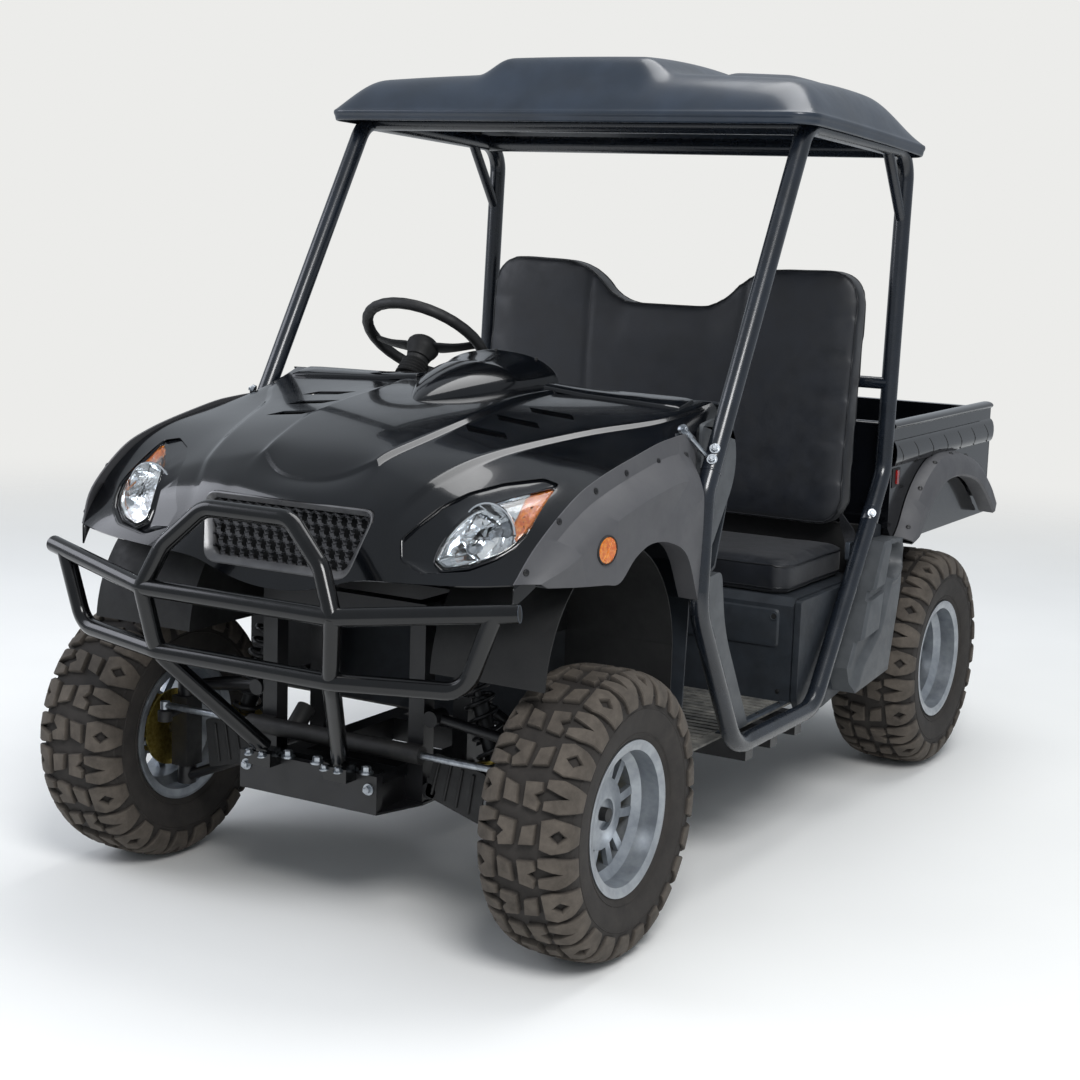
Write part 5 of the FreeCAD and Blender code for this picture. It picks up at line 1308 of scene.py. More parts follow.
def closed_line(points, step):
    """Evenly spaced points round a closed outline of points."""
    lengths = [0]
    ring = list(points) + [points[0]]
    for a, b in zip(ring, ring[1:]):
        lengths.append(lengths[-1] + (b - a).length)
    count = round(lengths[-1] / step)
    found, at = [], 0
    for i in range(count):
        want = lengths[-1] * i / count
        while lengths[at + 1] < want:
            at += 1
        span = lengths[at + 1] - lengths[at] or 1
        found.append(ring[at].lerp(ring[at + 1], (want - lengths[at]) / span))
    return found


def seat_back():
    inset = 8
    outline = rounded(grown_box(BACK_OUTLINE, -inset), BACK_RADII, 10)
    pad = bmesh.new()
    prism(pad, [back_place(u, v, 13) for u, v in outline],
          back_place(0, 0, BACK_DEPTH - 10) - back_place(0, 0, 13))
    out = Vector((0, math.cos(BACK_LEAN), -math.sin(BACK_LEAN)))
    up = Vector((0, math.sin(BACK_LEAN), math.cos(BACK_LEAN)))
    foot = mm(0, *BACK_FOOT)

    def keep(point):
        past = (point - foot).dot(out) - (BACK_DEPTH - 0.4) / 1000
        if past > 0:
            point = point - out * past
        return point

    shape = blown_up(pad, 10.5, 13, keep)
    for v in shape.verts:
        depth = (v.co - foot).dot(out) * 1000
        rise = (v.co - foot).dot(up) * 1000
        if depth < 45:
            for seam in (-SEAM_X, SEAM_X):
                away = (v.co.x * 1000 - seam_at(seam, rise)) / 7
                v.co += out * 0.0028 * math.exp(-away * away)
    tree = BVHTree.FromBMesh(shape)
    back = piece(shape, "seat_back_cover", VINYL, smoothing=1, stands_for=["seat_back"],
                 turn_out=False)
    seams = bmesh.new()
    for depth in (9, BACK_DEPTH - 16):
        rim = rounded(grown_box(BACK_OUTLINE, -5), BACK_RADII, 10)
        welt(seams, tree, closed_line([back_place(u, v, depth) for u, v in rim], 0.011), 2.6)
    for seam in (-SEAM_X, SEAM_X):
        line = []
        for k in range(66):
            rise = 12 + 10.6 * k
            found = tree.ray_cast(back_place(seam_at(seam, rise), rise, -60), out)[0]
            if found is not None:
                line.append(found + out * 0.0004)
        sweep(seams, line, 0.0011, count=6)
    piece(seams, "seat_back_welts", VINYL_SEAM, sharp=60)


def grown_box(outline, by):
    """Corners of an outline of upright and level edges moved outwards along both axes."""
    found = []
    total = len(outline)
    for i, (u, v) in enumerate(outline):
        a = Vector(outline[i - 1])
        b = Vector((u, v))
        c = Vector(outline[(i + 1) % total])
        first = (b - a).normalized()
        second = (c - b).normalized()
        out = Vector((first.y, -first.x)) + Vector((second.y, -second.x))
        out /= max(0.5, out.dot(Vector((first.y, -first.x))))
        found.append(tuple(b + out * by))
    return found


def seat_cushion():
    inset = 8
    x0, y0, z0 = CUSHION_LOW
    x1, y1, z1 = CUSHION_HIGH
    corners = ((x1 - inset, y1 - inset), (x0 + inset, y1 - inset), (x0 + inset, y0 + inset),
               (x1 - inset, y0 + inset))
    pad = bmesh.new()
    prism(pad, [mm(x, y, z0 + 6) for x, y in rounded(corners, (24, 24, 58, 58), 8)], mm(0, 0, z1 - z0 - 20))

    def keep(point):
        return Vector((point.x, point.y, max(point.z, (z0 + 0.6) / 1000)))

    shape = blown_up(pad, 7, 13, keep)
    tree = BVHTree.FromBMesh(shape)
    cushion = piece(shape, "seat_cushion_cover", VINYL, smoothing=1, stands_for=["seat_cushion"],
                    turn_out=False)
    seams = bmesh.new()
    corners = ((x1, y1), (x0, y1), (x0, y0), (x1, y0))
    for z in (z1 - 10, z0 + 12):
        line = closed_line([mm(x, y, z) for x, y in rounded(corners, (24, 24, 62, 62), 8)], 0.011)
        welt(seams, tree, line, 2.6)
    piece(seams, "seat_cushion_welts", VINYL_SEAM, sharp=60)


# Steering wheel: rim with finger bumps, two spokes, domed hub and the gaiter below it

WHEEL_SPOT = (-305, -285, 1222)
WHEEL_LEAN = math.radians(38)
WHEEL_DOWN = Vector((0, math.cos(WHEEL_LEAN), -math.sin(WHEEL_LEAN)))


def wheel_place(turn, reach, along):
    """Point of the steering wheel: turn round its axis, reach from it, and along it, in mm."""
    axis = Vector((0, math.sin(WHEEL_LEAN), math.cos(WHEEL_LEAN)))
    spot = mm(*WHEEL_SPOT) + axis * along / 1000
    return spot + (Vector((1, 0, 0)) * math.cos(turn) + WHEEL_DOWN * math.sin(turn)) * reach / 1000


def steering_wheel():
    axis = wheel_place(0, 0, 1) - wheel_place(0, 0, 0)
    rim_radius = 160
    finger_bumps = 30
    rim = bmesh.new()
    rings = []
    for k in range(144):
        turn = math.tau * k / 144
        swell = 14.4 + 0.6 * math.cos(finger_bumps * turn)
        ring = []
        for j in range(14):
            roll = math.tau * j / 14
            ring.append(wheel_place(turn, rim_radius + swell * math.cos(roll), 14.2 * math.sin(roll)))
        rings.append(ring)
    loft(rim, rings, closed=True)
    bmesh.ops.bridge_loops(rim, edges=[e for e in rim.edges if e.is_boundary])
    piece(rim, "steering_wheel_rim", GRIP, "steering_wheel",
          stands_for=["steering_wheel"])
    spokes = bmesh.new()
    for turn in (0, math.pi):
        rows = []
        for reach, half, thick, along in ((30, 25, 8, -20), (60, 21, 8, -19), (95, 16, 7, -16),
                                          (125, 14, 6.5, -9), (148, 15, 6, -3), (158, 16, 5, 0)):
            row = []
            for j in range(12):
                roll = math.tau * j / 12
                across = half * math.cos(roll)
                spot = wheel_place(turn, reach, along + thick * math.sin(roll))
                row.append(spot + WHEEL_DOWN * across / 1000)
            rows.append(row)
        loft(spokes, rows, closed=True)
        fill_open(spokes)
    piece(spokes, "steering_wheel_spokes", GRIP, "steering_wheel", smoothing=1)
    hub = bmesh.new()
    lathe(hub, [(-57, 0.01), (-57, 26), (-54, 31), (-44, 34), (-34, 40), (-24, 43), (-14, 42), (-6, 37),
                (-5.4, 35.4), (-4, 34.6), (0, 29), (4, 20), (6, 10), (6.5, 0.01)],
          mm(*WHEEL_SPOT), axis, 40)
    piece(hub, "steering_wheel_hub", BLACK_LINER_AND_SHADE, "steering_wheel", sharp=24)
    gaiter = bmesh.new()
    outline = [(-66, 24)]
    for k in range(5):
        outline += [(-68 - 9 * k, 32 + k), (-72.5 - 9 * k, 36 + k), (-77 - 9 * k, 32 + k)]
    outline += [(-114, 40), (-116, 32)]
    lathe(gaiter, outline, mm(*WHEEL_SPOT), axis, 32)
    piece(gaiter, "steering_column_gaiter", BLACK_LINER_AND_SHADE, wall=1.5)


# Springs over dampers, front and rear

def spring_unit(dark, bright, bottom, top, coil_radius, wire):
    """Damper with seats and eyes in one mesh, its lower collar in another, coil spring between."""
    bottom, top = Vector(bottom) / 1000, Vector(top) / 1000
    run = top - bottom
    unit = run.normalized()
    length = run.length * 1000
    for spot in (bottom, top):
        cylinder(dark, spot - mm(0, 20, 0), spot + mm(0, 20, 0), 0.016, 24)
    lathe(dark, [(8, 0.01), (8, 11), (16, 19), (length * 0.52, 19), (length * 0.54, 16), (length * 0.54, 8),
                 (length - 22, 8), (length - 20, 12), (length - 8, 12), (length - 8, 0.01)], bottom, unit, 24)
    low, high = length * 0.22, length * 0.9
    lathe(dark, [(high, 12), (high, coil_radius - 1), (high + 7, coil_radius - 1), (high + 12, 22),
                 (high + 12, 12)], bottom, unit, 32, closed=True)
    lathe(bright, [(low - 8, 19.5), (low - 8, coil_radius - 4), (low - 4, coil_radius), (low, coil_radius),
                   (low, 19.5)], bottom, unit, 32, closed=True)
    across = unit.cross(Vector((0, 1, 0))).normalized()
    other = unit.cross(across)
    turns = 8
    reach = (coil_radius - wire - 1) / 1000
    line = []
    for k in range(turns * 20 + 1):
        angle = math.tau * k / 20
        share = k / (turns * 20)
        share = share + 0.03 * math.sin(math.tau * share)
        height = (low + wire + (high - low - 2 * wire) * share) / 1000
        line.append(bottom + unit * height + (across * math.cos(angle) + other * math.sin(angle)) * reach)
    sweep(dark, line, wire / 1000, 8)


def shocks():
    for end, bottom, top, radius, wire in (
            ("front", (372, -953, 288), (236.3, -953, 700), 38, 5.2),
            ("rear", (330, 930, 364.3), (191.3, 870, 618), 42, 5.6)):
        dark, bright, pins = bmesh.new(), bmesh.new(), bmesh.new()
        for side in (LEFT, RIGHT):
            low = (side * bottom[0], *bottom[1:])
            high = (side * top[0], *top[1:])
            spring_unit(dark, bright, low, high, radius, wire)
            for spot in (low, high):
                bolt(pins, mm(*spot) - mm(0, 20, 0), AHEAD, 17)
                bolt(pins, mm(*spot) + mm(0, 20, 0), Vector((0, 1, 0)), 17)
        piece(dark, end + "_spring_units", FRAME, rounding=0.5,
              stands_for=[end + "_shocks"])
        piece(bright, end + "_spring_collars", YELLOW_ZINC, rounding=0.6)
        piece(pins, end + "_spring_bolts", ZINC)


# Guards in front of the lower arms, bolts of the skid plate and of the bumper

def nose_fittings():
    guards = bmesh.new()
    for side in (LEFT, RIGHT):
        corners = ((255, 400), (385, 372), (372, 258), (228, 300))
        outline = [mm(side * x, -1052, z) for x, z in rounded(corners, 9, 3)]
        prism(guards, outline, mm(0, 5, 0))
        for share in (0.12, 0.34, 0.56, 0.78):
            upper = Vector(corners[0]).lerp(Vector(corners[1]), share)
            lower = Vector(corners[3]).lerp(Vector(corners[2]), share)
            line = [mm(side * p[0], -1053, p[1]) for p in (upper.lerp(lower, 0.1), upper.lerp(lower, 0.5),
                                                           upper.lerp(lower, 0.9))]
            sweep(guards, line, 0.004, 8)
        box(guards, mm(min(side * 232, side * 262), -1050, 318), mm(max(side * 232, side * 262), -1020, 340))
    piece(guards, "arm_guards", BLACK_LINER_AND_SHADE, rounding=0.8)
    bolts = bmesh.new()
    for x in (-140, -95, -60, 20, 110, 150):
        bolt(bolts, mm(x, -1161, 360), Vector((0, 0, 1)), 19)
    for side in (LEFT, RIGHT):
        bolt(bolts, mm(side * 165, -1172, 330), AHEAD, 15)
        for x in (84, 120):
            bolt(bolts, mm(side * x, -1222, 372), Vector((0, -0.2, 1)), 13)
    piece(bolts, "skid_plate_bolts", ZINC)
    ends, bores = bmesh.new(), bmesh.new()
    for side in (LEFT, RIGHT):
        end = mm(side * 608, -1307.5, 793)
        out = (end - mm(side * 247, -1423.5, 757)).normalized()
        lathe(ends, [(-0.2, 15.4), (-0.2, 18.2), (0.5, 18.2), (0.9, 17.6), (0.9, 15.8), (0.3, 15.2)],
              end, out, 32, closed=True)
        # Black discs across the tube mouths: painted shade inside the open ends
        lathe(bores, [(0.1, 0.01), (0.1, 15.6), (0.35, 15.6), (0.35, 0.01)], end, out, 32)
    piece(ends, "bumper_tube_ends", STEEL)
    piece(bores, "bumper_tube_bore_shade", BLACK_LINER_AND_SHADE)


# Couplers of the cage tubes, and the strut from the cowl to the left and right front tubes

def couplers():
    sleeves, bolts, struts = bmesh.new(), bmesh.new(), bmesh.new()
    for side in (LEFT, RIGHT):
        foot = mm(side * 644, -556, 1000)
        up = (mm(side * 636, -104, 1780) - foot).normalized()
        front = Vector((side * 0.25, -1, 0))
        front = (front - up * front.dot(up)).normalized()
        lathe(sleeves, [(-3, 22.4), (-3, 23.4), (-1, 24), (1, 24), (3, 23.4), (3, 22.4)], foot, up, 32,
              closed=True)
        for rise in (21, 47):
            spot = foot + up * rise / 1000 + front * 0.0222
            bolt(bolts, spot, front, 14)
        rear = mm(side * 640, 450, 770)
        lathe(sleeves, [(-6, 22.3), (-6, 23.6), (-4, 24.2), (34, 24.2), (36, 23.6), (36, 22.3)], rear,
              (mm(side * 638, 538, 894) - rear).normalized(), 32, closed=True)
        bolt(bolts, rear + mm(0, 10, 14) + Vector((side * 0.45, -0.85, 0.3)).normalized() * 0.0238,
             Vector((side * 0.45, -0.85, 0.3)), 13)
        a, b = mm(side * 600, -615, 1095), mm(side * 640, -548, 1023)
        across = (b - a).normalized()
        for spot, size in ((a, 12), (b, 9)):
            lathe(struts, [(-4, size * 0.45), (-4, size), (4, size), (4, size * 0.45)], spot,
                  Vector((side, -0.3, 0.3)).normalized(), 24, closed=True)
        cylinder(struts, a + across * 0.01, b - across * 0.007, 0.0058, 16)
        cylinder(struts, a + across * 0.014, a + across * 0.026, 0.009, 6)
        bolt(struts, a + Vector((side, -0.3, 0.3)).normalized() * 0.003, Vector((side, -0.3, 0.3)), 10)
    piece(sleeves, "cage_couplers", CAGE, rounding=0.5)
    piece(bolts, "cage_coupler_bolts", ZINC)
    piece(struts, "cowl_struts", ZINC)


# Rivets of the front flares and their side reflectors

def outward(tree, side, spot):
    """Nearest point of a surface, with its normal turned away from the middle plane."""
    found, normal = tree.find_nearest(spot)[:2]
    return found, -normal if normal.x * side < 0 else normal


FLARE_RIVETS = ((578, -1238, 861), (597, -1147, 954), (609, -1021, 1003), (613, -899, 1028),
                (614, -761, 1036), (615, -629, 1041))


def flare_trim():
    rivets = bmesh.new()
    for side, word in SIDES:
        flare = bpy.data.objects["front_flare_" + word]
        tree = tree_of(flare.data)
        for x, y, z in FLARE_RIVETS:
            rivet(rivets, *outward(tree, side, mm(side * x, y, z)), 15)
        spot, normal = outward(tree, side, mm(side * 662, -1053, 890))
        out = (normal + Vector((side * 0.5, -0.15, 0))).normalized()
        rim = bmesh.new()
        lathe(rim, [(-8, 26), (-8, 31), (3, 31), (4.5, 30), (4.5, 27.6), (2, 27), (2, 26)], spot, out, 48,
              closed=True)
        piece(rim, "side_reflector_rim_" + word, BLACK_LINER_AND_SHADE)
        lens = bmesh.new()
        lathe(lens, [(0, 0.01), (0, 27.4), (3.4, 27.4), (5, 24), (5.4, 12), (5.5, 0.01)], spot, out, 48)
        across = out.cross(Vector((0, 0, 1))).normalized()
        up = across.cross(out)
        for k in range(3):
            way = across * math.cos(math.pi * k / 3) + up * math.sin(math.pi * k / 3)
            sweep(lens, [spot + out * 0.0052 - way * 0.0255, spot + out * 0.0058, spot + out * 0.0052
                         + way * 0.0255], 0.0008, 6)
        piece(lens, "side_reflector_" + word, AMBER, sharp=20)
    piece(rivets, "front_flare_rivets", FRAME)


# Cargo bed: rolled rail, slashed band, ribs of its floor, tail lamp bezels

BED_FRONT, BED_REAR, BED_TOP = 592, 1432, 1012


def bed_trim():
    rail = bmesh.new()
    for side in (LEFT, RIGHT):
        rows = []
        for y in (BED_FRONT + 2, BED_REAR - 2):
            rows.append([mm(side * (625 + 23 * math.cos(math.tau * k / 20)), y,
                            BED_TOP - 2 + 11 * math.sin(math.tau * k / 20)) for k in range(20)])
        loft(rail, rows, closed=True)
    rows = []
    for x in (-612, 612):
        rows.append([mm(x, BED_FRONT + 15 + 17 * math.cos(math.tau * k / 20),
                        BED_TOP - 2 + 10 * math.sin(math.tau * k / 20)) for k in range(20)])
    loft(rail, rows, closed=True)
    fill_open(rail)
    piece(rail, "cargo_bed_rail", GLOSS, "cargo_bed")
    band = ((899, 640), (901, 646), (907, 650.5), (918, 653.5), (932, 654.5), (946, 653.5), (958, 650.5),
            (966, 646), (970, 640))
    bands, slashes = bmesh.new(), bmesh.new()
    for side in (LEFT, RIGHT):
        loft(bands, [[mm(side * x, y, z) for z, x in band] for y in (BED_FRONT + 4, BED_REAR - 2)],
             closed=True)
        for k in range(7):
            y = BED_FRONT + 22 + 122 * k
            path = []
            for along, z in ((0, 957), (12, 946), (24, 935), (32, 926), (34, 918), (34, 909), (34, 903)):
                x = max(x for level, x in band if abs(level - z) < 8)
                path.append(mm(side * (x - 0.6), y + along, z))
            sweep(slashes, path, 0.0016, 8)
    fill_open(bands)
    piece(bands, "cargo_bed_bands", GLOSS, "cargo_bed", sharp=60)
    piece(slashes, "cargo_bed_slashes", BLACK_LINER_AND_SHADE, "cargo_bed")
    recess, marker = bmesh.new(), bmesh.new()
    for side in (LEFT, RIGHT):
        corners = ((BED_FRONT + 12, 838), (BED_FRONT + 70, 846), (BED_FRONT + 70, 893),
                   (BED_FRONT + 12, 893))
        side_plate(recess, side, 640.4, corners, 5, 3, 1.6)
        corners = rectangle((BED_FRONT + 34, 848), (BED_FRONT + 50, 888))
        side_plate(marker, side, 641.5, corners, 4, 3, 6)
    piece(recess, "bed_marker_plates", BLACK_LINER_AND_SHADE, "cargo_bed", rounding=0.5)
    piece(marker, "bed_markers", RED, "cargo_bed", rounding=1.2)
    ribs = bmesh.new()
    for k in range(13):
        x = -540 + 90 * k
        row = []
        for y in (BED_FRONT + 46, BED_REAR - 62):
            row.append([mm(x - 16, y, 693), mm(x - 11, y, 699.5), mm(x + 11, y, 699.5), mm(x + 16, y, 693)])
        loft(ribs, row, closed=True)
    fill_open(ribs)
    piece(ribs, "cargo_bed_floor_ribs", GLOSS, "cargo_bed", rounding=1.5)
    for side, word in SIDES:
        bezel = bmesh.new()
        rows = []
        for inset, y in ((-2.4, 1431), (-2.4, 1441), (-1, 1443.5), (1.4, 1443.5), (1.8, 1440)):
            corners = rectangle((613, 780), (637, 900), inset)
            rows.append([mm(side * x, y, z) for x, z in rounded(corners, 4, 3)])
        loft(bezel, rows, closed=True)
        piece(bezel, "tail_light_bezel_" + word, MESH_BLACK, "cargo_bed", wall=1)
    gate = bmesh.new()
    for x in (-400, -200, 0, 200, 400):
        rows = []
        for z in (762, 962):
            rows.append([mm(x - 34, 1431, z), mm(x - 26, 1436, z), mm(x + 26, 1436, z), mm(x + 34, 1431, z)])
        loft(gate, rows, closed=True)
    fill_open(gate)
    piece(gate, "tailgate_ribs", GLOSS, "tailgate", rounding=1.5)
    latches = bmesh.new()
    for side in (LEFT, RIGHT):
        lathe(latches, [(0, 0.01), (0, 13), (3, 13), (4, 8), (9, 7), (10, 10), (15, 10), (17, 6), (17, 0.01)],
              mm(side * 575, 1431.5, 962), Vector((0, 1, 0)), 24)
    piece(latches, "tailgate_knobs", BLACK_LINER_AND_SHADE, "tailgate")


# Rear flares: rails along the arch, each a distance off the middle plane and its (y, z) points,
# y from the rear axle

REAR_RAILS = (
    (642, ((-290, 702), (-256, 734), (-208, 803), (-130, 866), (-30, 905), (70, 909), (170, 900),
           (310, 860), (410, 800), (473, 736))),
    (676, ((-289, 699), (-250, 726), (-202, 795), (-126, 857), (-28, 896), (70, 900), (168, 891),
           (304, 852), (404, 793), (466, 731))),
    (694, ((-284, 694), (-240, 713), (-190, 775), (-119, 834), (-27, 872), (66, 877), (160, 869),
           (290, 832), (388, 775), (453, 716))),
    (696, ((-274, 688), (-224, 702), (-180, 747), (-108, 798), (-26, 835), (60, 843), (146, 836),
           (262, 808), (360, 752), (437, 694))),
    (690, ((-272, 682), (-222, 697), (-177, 741), (-106, 792), (-26, 829), (60, 837), (146, 830),
           (262, 802), (358, 746), (434, 688))),
    (646, ((-272, 684), (-222, 699), (-177, 743), (-106, 794), (-26, 831), (60, 839), (146, 832),
           (262, 804), (358, 748), (434, 690))),
)


def rear_flares():
    rivets = bmesh.new()
    for side, word in SIDES:
        skin = bmesh.new()
        rows = []
        for x, rail in REAR_RAILS:
            points = [mm(side * x, REAR_AXLE_Y + y, z) for y, z in rail]
            fine = curve_through(points, 0.022)
            rows.append([fine[round(k * (len(fine) - 1) / 44)] for k in range(45)])
        loft(skin, rows)
        flare = piece(skin, "rear_flare_" + word, FLARE, "cargo_bed", rounding=2, wall=3.5, sharp=40,
                      stands_for=["rear_flares"])
        tree = tree_of(flare.data)
        for y, z in ((-250, 724), (-172, 826), (-62, 888), (70, 899), (205, 884), (338, 838), (430, 762)):
            rivet(rivets, *outward(tree, side, mm(side * 668, REAR_AXLE_Y + y, z)), 15)
    piece(rivets, "rear_flare_rivets", FRAME, "cargo_bed")


# Quarter panels behind the doors: two steps beside the cage tube, a scoop and a swept fold

PANEL_PLATE = ((-834, 300), (-698, 296), (-389, 345), (-370, 420), (-318, 600), (-302, 674), (-338, 674),
               (-338, 742), (-452, 742), (-505, 660), (-545, 607), (-870, 606), (-870, 345))
PANEL_FRONT = ((0, -630, 330), (0.2, -662, 400), (0.52, -590, 520), (1, -452, 712))
PANEL_REAR = ((0, -395, 352), (0.2, -374, 430), (0.62, -330, 590), (1, -312, 706))


def edge_spot(edge, share):
    for (a, ya, za), (b, yb, zb) in zip(edge, edge[1:]):
        if share <= b:
            t = (share - a) / (b - a)
            return Vector((ya + (yb - ya) * t, za + (zb - za) * t))
    return Vector(edge[-1][1:])


def ramped(value, low, high):
    return eased((value - low) / (high - low))


def panel_relief(u, v):
    """How far the quarter panel stands out at a share of its width and of its height."""
    out = 692 - 10 * ramped(v, 0.5, 1)
    fold = 0.5 * ramped(v, 0.02, 0.42) + 0.1 * ramped(v, 0.5, 1)
    behind_fold = ramped(u, fold - 0.03, fold + 0.1)
    out -= 15 * (1 - behind_fold)
    if v < 0.08:
        out += 15 * (1 - behind_fold) * (1 - v / 0.08)
    lower = ramped(v, 0.375, 0.38) * (1 - ramped(v, 0.625, 0.63)) * (1 - ramped(u, 0.46, 0.48))
    upper = ramped(v, 0.695, 0.7) * (1 - ramped(u, 0.38, 0.4))
    out += lower * (17 - 8 * (v - 0.38) / 0.25) + upper * 15
    away = math.hypot((u - 0.71) / 0.25, (v - 0.83) / 0.145)
    slant = 1 - ramped(v, 0.66, 0.8) * 0.25
    out -= 46 * (1 - ramped(away, 0.72, 1.0)) * slant
    out += 3 * math.exp(-((away - 1.08) / 0.1) ** 2)
    return out


def quarter_panels():
    for side, word in SIDES:
        skin = bmesh.new()
        rows = []
        for i in range(81):
            v = i / 80
            a, b = edge_spot(PANEL_FRONT, v), edge_spot(PANEL_REAR, v)
            row = []
            for j in range(57):
                u = j / 56
                spot = a.lerp(b, u)
                round_off = min(u, 1 - u, v * 1.4, (1 - v) * 1.4) * 14
                drop = 5 * (1 - ramped(round_off, 0, 1))
                row.append(mm(side * (panel_relief(u, v) - drop), REAR_AXLE_Y + spot.x, spot.y))
            rows.append(row)
        loft(skin, rows)
        rim = [e for e in skin.edges if e.is_boundary]
        for v in verts_in(bmesh.ops.extrude_edge_only(skin, edges=rim)["geom"]):
            v.co.x = side * 0.618
        fill_open(skin)
        piece(skin, "quarter_panel_" + word, SIDE_GREY, sharp=26,
              stands_for=["side_panels"])
        plate = bmesh.new()
        corners = [(REAR_AXLE_Y + y, z) for y, z in PANEL_PLATE]
        side_plate(plate, side, 604, corners, 12, 3, 18)
        piece(plate, "quarter_panel_back_" + word, SLATE, rounding=1.5)


# Cabin: pressed front of the seat box, sill strips, jambs, belts and dash ends

def cabin_trim():
    press = bmesh.new()
    rows = []
    for inset, y in ((0, 55), (4, 50), (8, 49)):
        outline = rectangle((-566, 478), (566, 580), inset)
        rows.append([mm(x, y, z) for x, z in rounded(outline, 14, 4)])
    first, last = loft(press, rows, closed=True)
    cap(press, last)
    cap(press, list(reversed(first)))
    for side in (LEFT, RIGHT):
        ring = mm(side * 552, 49, 560)
        lathe(press, [(0, 7), (0, 11), (2.5, 10.5), (2.5, 8), (0.5, 7)], ring, AHEAD, 28,
              closed=True)
    piece(press, "seat_box_front", SLATE, rounding=1.2)
    # Black discs in the drain rings: painted shade where the holes would open into the seat box
    holes = bmesh.new()
    for side in (LEFT, RIGHT):
        lathe(holes, [(0.2, 0.01), (0.2, 7.6), (0.8, 7.6), (0.8, 0.01)], mm(side * 552, 49, 560),
              AHEAD, 24)
    piece(holes, "seat_box_drain_hole_shade", BLACK_LINER_AND_SHADE)
    screws = bmesh.new()
    for side in (LEFT, RIGHT):
        for x, y, z, out in ((570, 55, 366, (0, -1, 0)), (602, 76, 362, (1, 0, 0)),
                             (602, 110, 592, (1, 0, 0)), (602, 400, 596, (1, 0, 0)),
                             (602, 500, 480, (1, 0, 0))):
            rivet(screws, mm(side * x, y, z), Vector((side * out[0], out[1], out[2])), 13)
        for y in (-262, -110, 20):
            rivet(screws, mm(side * 590, y, 345), Vector((0, 0, 1)), 11)
    piece(screws, "cabin_rivets", FRAME)
    strips = bmesh.new()
    for side in (LEFT, RIGHT):
        rows = []
        for y in (-330, 50):
            rows.append([mm(side * 578, y, 339), mm(side * 581, y, 345), mm(side * 599, y, 345),
                         mm(side * 602, y, 339)])
        loft(strips, rows, closed=True)
    fill_open(strips)
    piece(strips, "sill_strips", STEEL, rounding=1)
    mats = bmesh.new()
    for k in range(22):
        y = -556 + 28 * k
        box(mats, mm(-570, y, 339), mm(570, y + 14, 342.5))
    piece(mats, "floor_ribs", FLOOR, rounding=0.8)
    # Black plate behind the seat box: it stands for the panel behind the seat, and its near black is painted
    # shade under the bed
    shield = bmesh.new()
    prism(shield, [mm(-598, y, z) for y, z in ((500, 611), (540, 611), (540, 614), (503, 614), (503, 742),
                                               (522, 742), (522, 745), (500, 745))], mm(1196, 0, 0))
    piece(shield, "seat_rear_shade_panel", BLACK_LINER_AND_SHADE, rounding=0.8)
    for side, word in SIDES:
        jamb = bmesh.new()
        corners = ((-512, 748), (-430, 756), (-400, 610), (-243, 352), (-335, 346), (-440, 520))
        side_plate(jamb, side, 603, corners, (24, 24, 60, 10, 10, 60), 5, 22)
        wing = ((-470, 1112), (-392, 1092), (-356, 1040), (-360, 960), (-478, 800), (-545, 800), (-545, 1100))
        side_plate(jamb, side, 598, wing, (20, 40, 40, 40, 30, 10, 20), 5, 15)
        piece(jamb, "door_jamb_" + word, SIDE_GREY, rounding=3)
        belt = bmesh.new()
        line = [mm(side * x, y, z) for x, y, z in ((592, 366, 792), (594, 388, 764), (598, 410, 740),
                                                   (606, 414, 712), (608, 404, 686), (606, 420, 636))]
        rings = []
        path = curve_through(line, 0.008)
        for i, point in enumerate(path):
            share = i / (len(path) - 1)
            twist = 0.5 + 0.9 * math.sin(math.pi * share)
            across = Vector((math.sin(twist) * side, -math.cos(twist), 0.3)).normalized()
            ahead = (path[min(i + 1, len(path) - 1)] - path[max(i - 1, 0)]).normalized()
            flat = ahead.cross(across).normalized()
            rings.append([point + across * 0.019 + flat * 0.0008, point - across * 0.019 + flat * 0.0008,
                          point - across * 0.019 - flat * 0.0008, point + across * 0.019 - flat * 0.0008])
        first, last = loft(belt, rings, closed=True)
        cap(belt, first)
        cap(belt, last)
        piece(belt, "lap_belt_" + word, WEBBING, sharp=60)
        buckle = bmesh.new()
        side_plate(buckle, side, 602, rectangle((385, 666), (415, 714)), 5, 3, 13)
        piece(buckle, "lap_belt_buckle_" + word, STEEL, rounding=2)


# Front brakes: drilled disc at each front hub

def front_brakes():
    for side, word in SIDES:
        body = "wheel_front_" + word
        disc = bmesh.new()
        centre = mm(side * 552, FRONT_AXLE_Y, AXLE_Z)
        lathe(disc, [(-2, 50), (-2, 88), (2, 88), (2, 50)], centre, Vector((side, 0, 0)), 64, closed=True)
        piece(disc, "brake_disc_" + word, YELLOW_ZINC, body, rounding=0.5)
        # Black plugs through the disc stand for its drilled holes: painted shade, no holes are cut
        holes = bmesh.new()
        for k in range(12):
            turn = math.tau * k / 12
            for reach in (62, 76):
                spot = centre + mm(0, reach * math.sin(turn + reach), reach * math.cos(turn + reach))
                cylinder(holes, spot - mm(2.2, 0, 0), spot + mm(2.2, 0, 0), 0.0042, 12)
        piece(holes, "brake_disc_hole_shade_" + word, BLACK_LINER_AND_SHADE, body)


# Studio: pale floor, soft light, the camera of the view

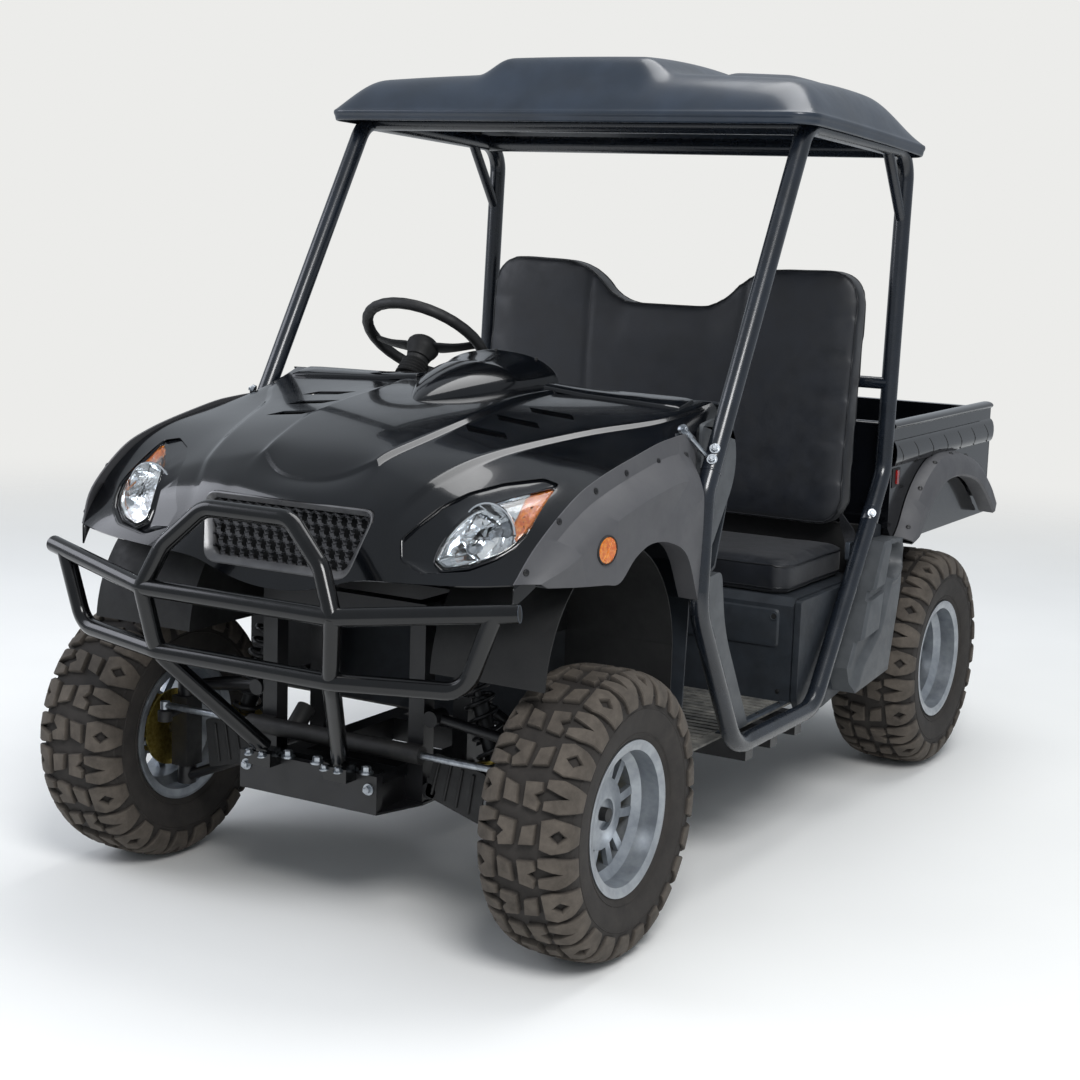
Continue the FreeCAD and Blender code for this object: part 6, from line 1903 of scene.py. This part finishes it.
def place_camera():
    """Lens and place that give the object's three-quarter view from its front left."""
    lens = bpy.data.cameras.new("view")
    lens.lens = 66.64
    lens.sensor_width = 36
    lens.clip_end = 100
    camera = bpy.data.objects.new("view", lens)
    heading, dip, roll = 0.527849, 0.166546, 0.0321925
    turn = Matrix.Rotation(heading, 4, "Z") @ Matrix.Rotation(math.pi / 2 - dip, 4, "X")
    camera.matrix_world = (Matrix.Translation(mm(2545, -4561.3, 1576.2)) @ turn
                           @ Matrix.Rotation(roll, 4, "Z"))
    scene.collection.objects.link(camera)
    scene.camera = camera


def lamp(name, spot, size, power, colour="FFFFFF"):
    light = bpy.data.lights.new(name, "AREA")
    light.shape = "DISK"
    light.size = size
    light.energy = power
    light.color = hex_colour(colour)[:3]
    thing = bpy.data.objects.new(name, light)
    thing.location = spot
    thing.rotation_euler = (Vector((0, 0, 0.8)) - Vector(spot)).to_track_quat("-Z", "Y").to_euler()
    scene.collection.objects.link(thing)


def build_studio():
    floor = bmesh.new()
    bmesh.ops.create_grid(floor, x_segments=2, y_segments=2, size=30)
    data = mesh_of(floor, "floor")
    thing = placed(data, "floor")
    made, tree, surface, place = new_finish("studio_floor", 0.9)
    cloud = add(tree, "ShaderNodeTexNoise", {"Scale": 1.5, "Detail": 2}, Vector=place)
    colour = ramp_between(tree, cloud.outputs["Fac"], ((0.3, "ECECEA"), (0.7, "EFEFED")))
    tree.links.new(colour, surface.inputs["Base Color"])
    surface.inputs["Specular IOR Level"].default_value = 0.1
    far = add(tree, "ShaderNodeVectorMath", {"operation": "LENGTH"}, Vector=place)
    fade = add(tree, "ShaderNodeMapRange", {"From Min": 3.2, "From Max": 7.5}, Value=far.outputs["Value"])
    fade.interpolation_type = "SMOOTHSTEP"
    gone = add(tree, "ShaderNodeBsdfTransparent", {})
    mixed = add(tree, "ShaderNodeMixShader", {}, Fac=fade.outputs["Result"])
    tree.links.new(surface.outputs[0], mixed.inputs[1])
    tree.links.new(gone.outputs[0], mixed.inputs[2])
    tree.links.new(mixed.outputs[0], tree.nodes["Material Output"].inputs["Surface"])
    data.materials.append(made)
    world = bpy.data.worlds.new("studio")
    world.use_nodes = True
    tree = world.node_tree
    tree.nodes.clear()
    ray = add(tree, "ShaderNodeLightPath", {})
    seen = add(tree, "ShaderNodeMath", {"operation": "ADD", "use_clamp": True})
    tree.links.new(ray.outputs["Is Camera Ray"], seen.inputs[0])
    tree.links.new(ray.outputs["Is Transmission Ray"], seen.inputs[1])
    light = add(tree, "ShaderNodeBackground", {"Color": hex_colour("DDE4EC"), "Strength": 0.62})
    pale = add(tree, "ShaderNodeBackground", {"Color": hex_colour("ECECEA"), "Strength": 1.0})
    mirror = add(tree, "ShaderNodeBackground", {"Color": hex_colour("D5DCE4"), "Strength": 0.62})
    glossy = add(tree, "ShaderNodeMixShader", {}, Fac=ray.outputs["Is Glossy Ray"])
    tree.links.new(light.outputs[0], glossy.inputs[1])
    tree.links.new(mirror.outputs[0], glossy.inputs[2])
    mix = add(tree, "ShaderNodeMixShader", {}, Fac=seen.outputs[0])
    tree.links.new(glossy.outputs[0], mix.inputs[1])
    tree.links.new(pale.outputs[0], mix.inputs[2])
    add(tree, "ShaderNodeOutputWorld", {}, Surface=mix.outputs[0])
    scene.world = world
    lamp("key", (3.4, -4.2, 5.0), 2.6, 270)
    lamp("fill", (-4.5, -2.6, 3.4), 3.6, 100, "F2F5FF")
    lamp("top", (0.3, 1.4, 6.0), 4.0, 160)


place_camera()
finish_nodes()
wheels()
skin = hood()
vents()
headlamps(skin)
plinths(skin)
bpy.data.meshes.remove(skin)
hump()
grille()
front_flares()
roof()
seat_back()
seat_cushion()
steering_wheel()
shocks()
nose_fittings()
couplers()
flare_trim()
bed_trim()
rear_flares()
quarter_panels()
cabin_trim()
front_brakes()
build_studio()
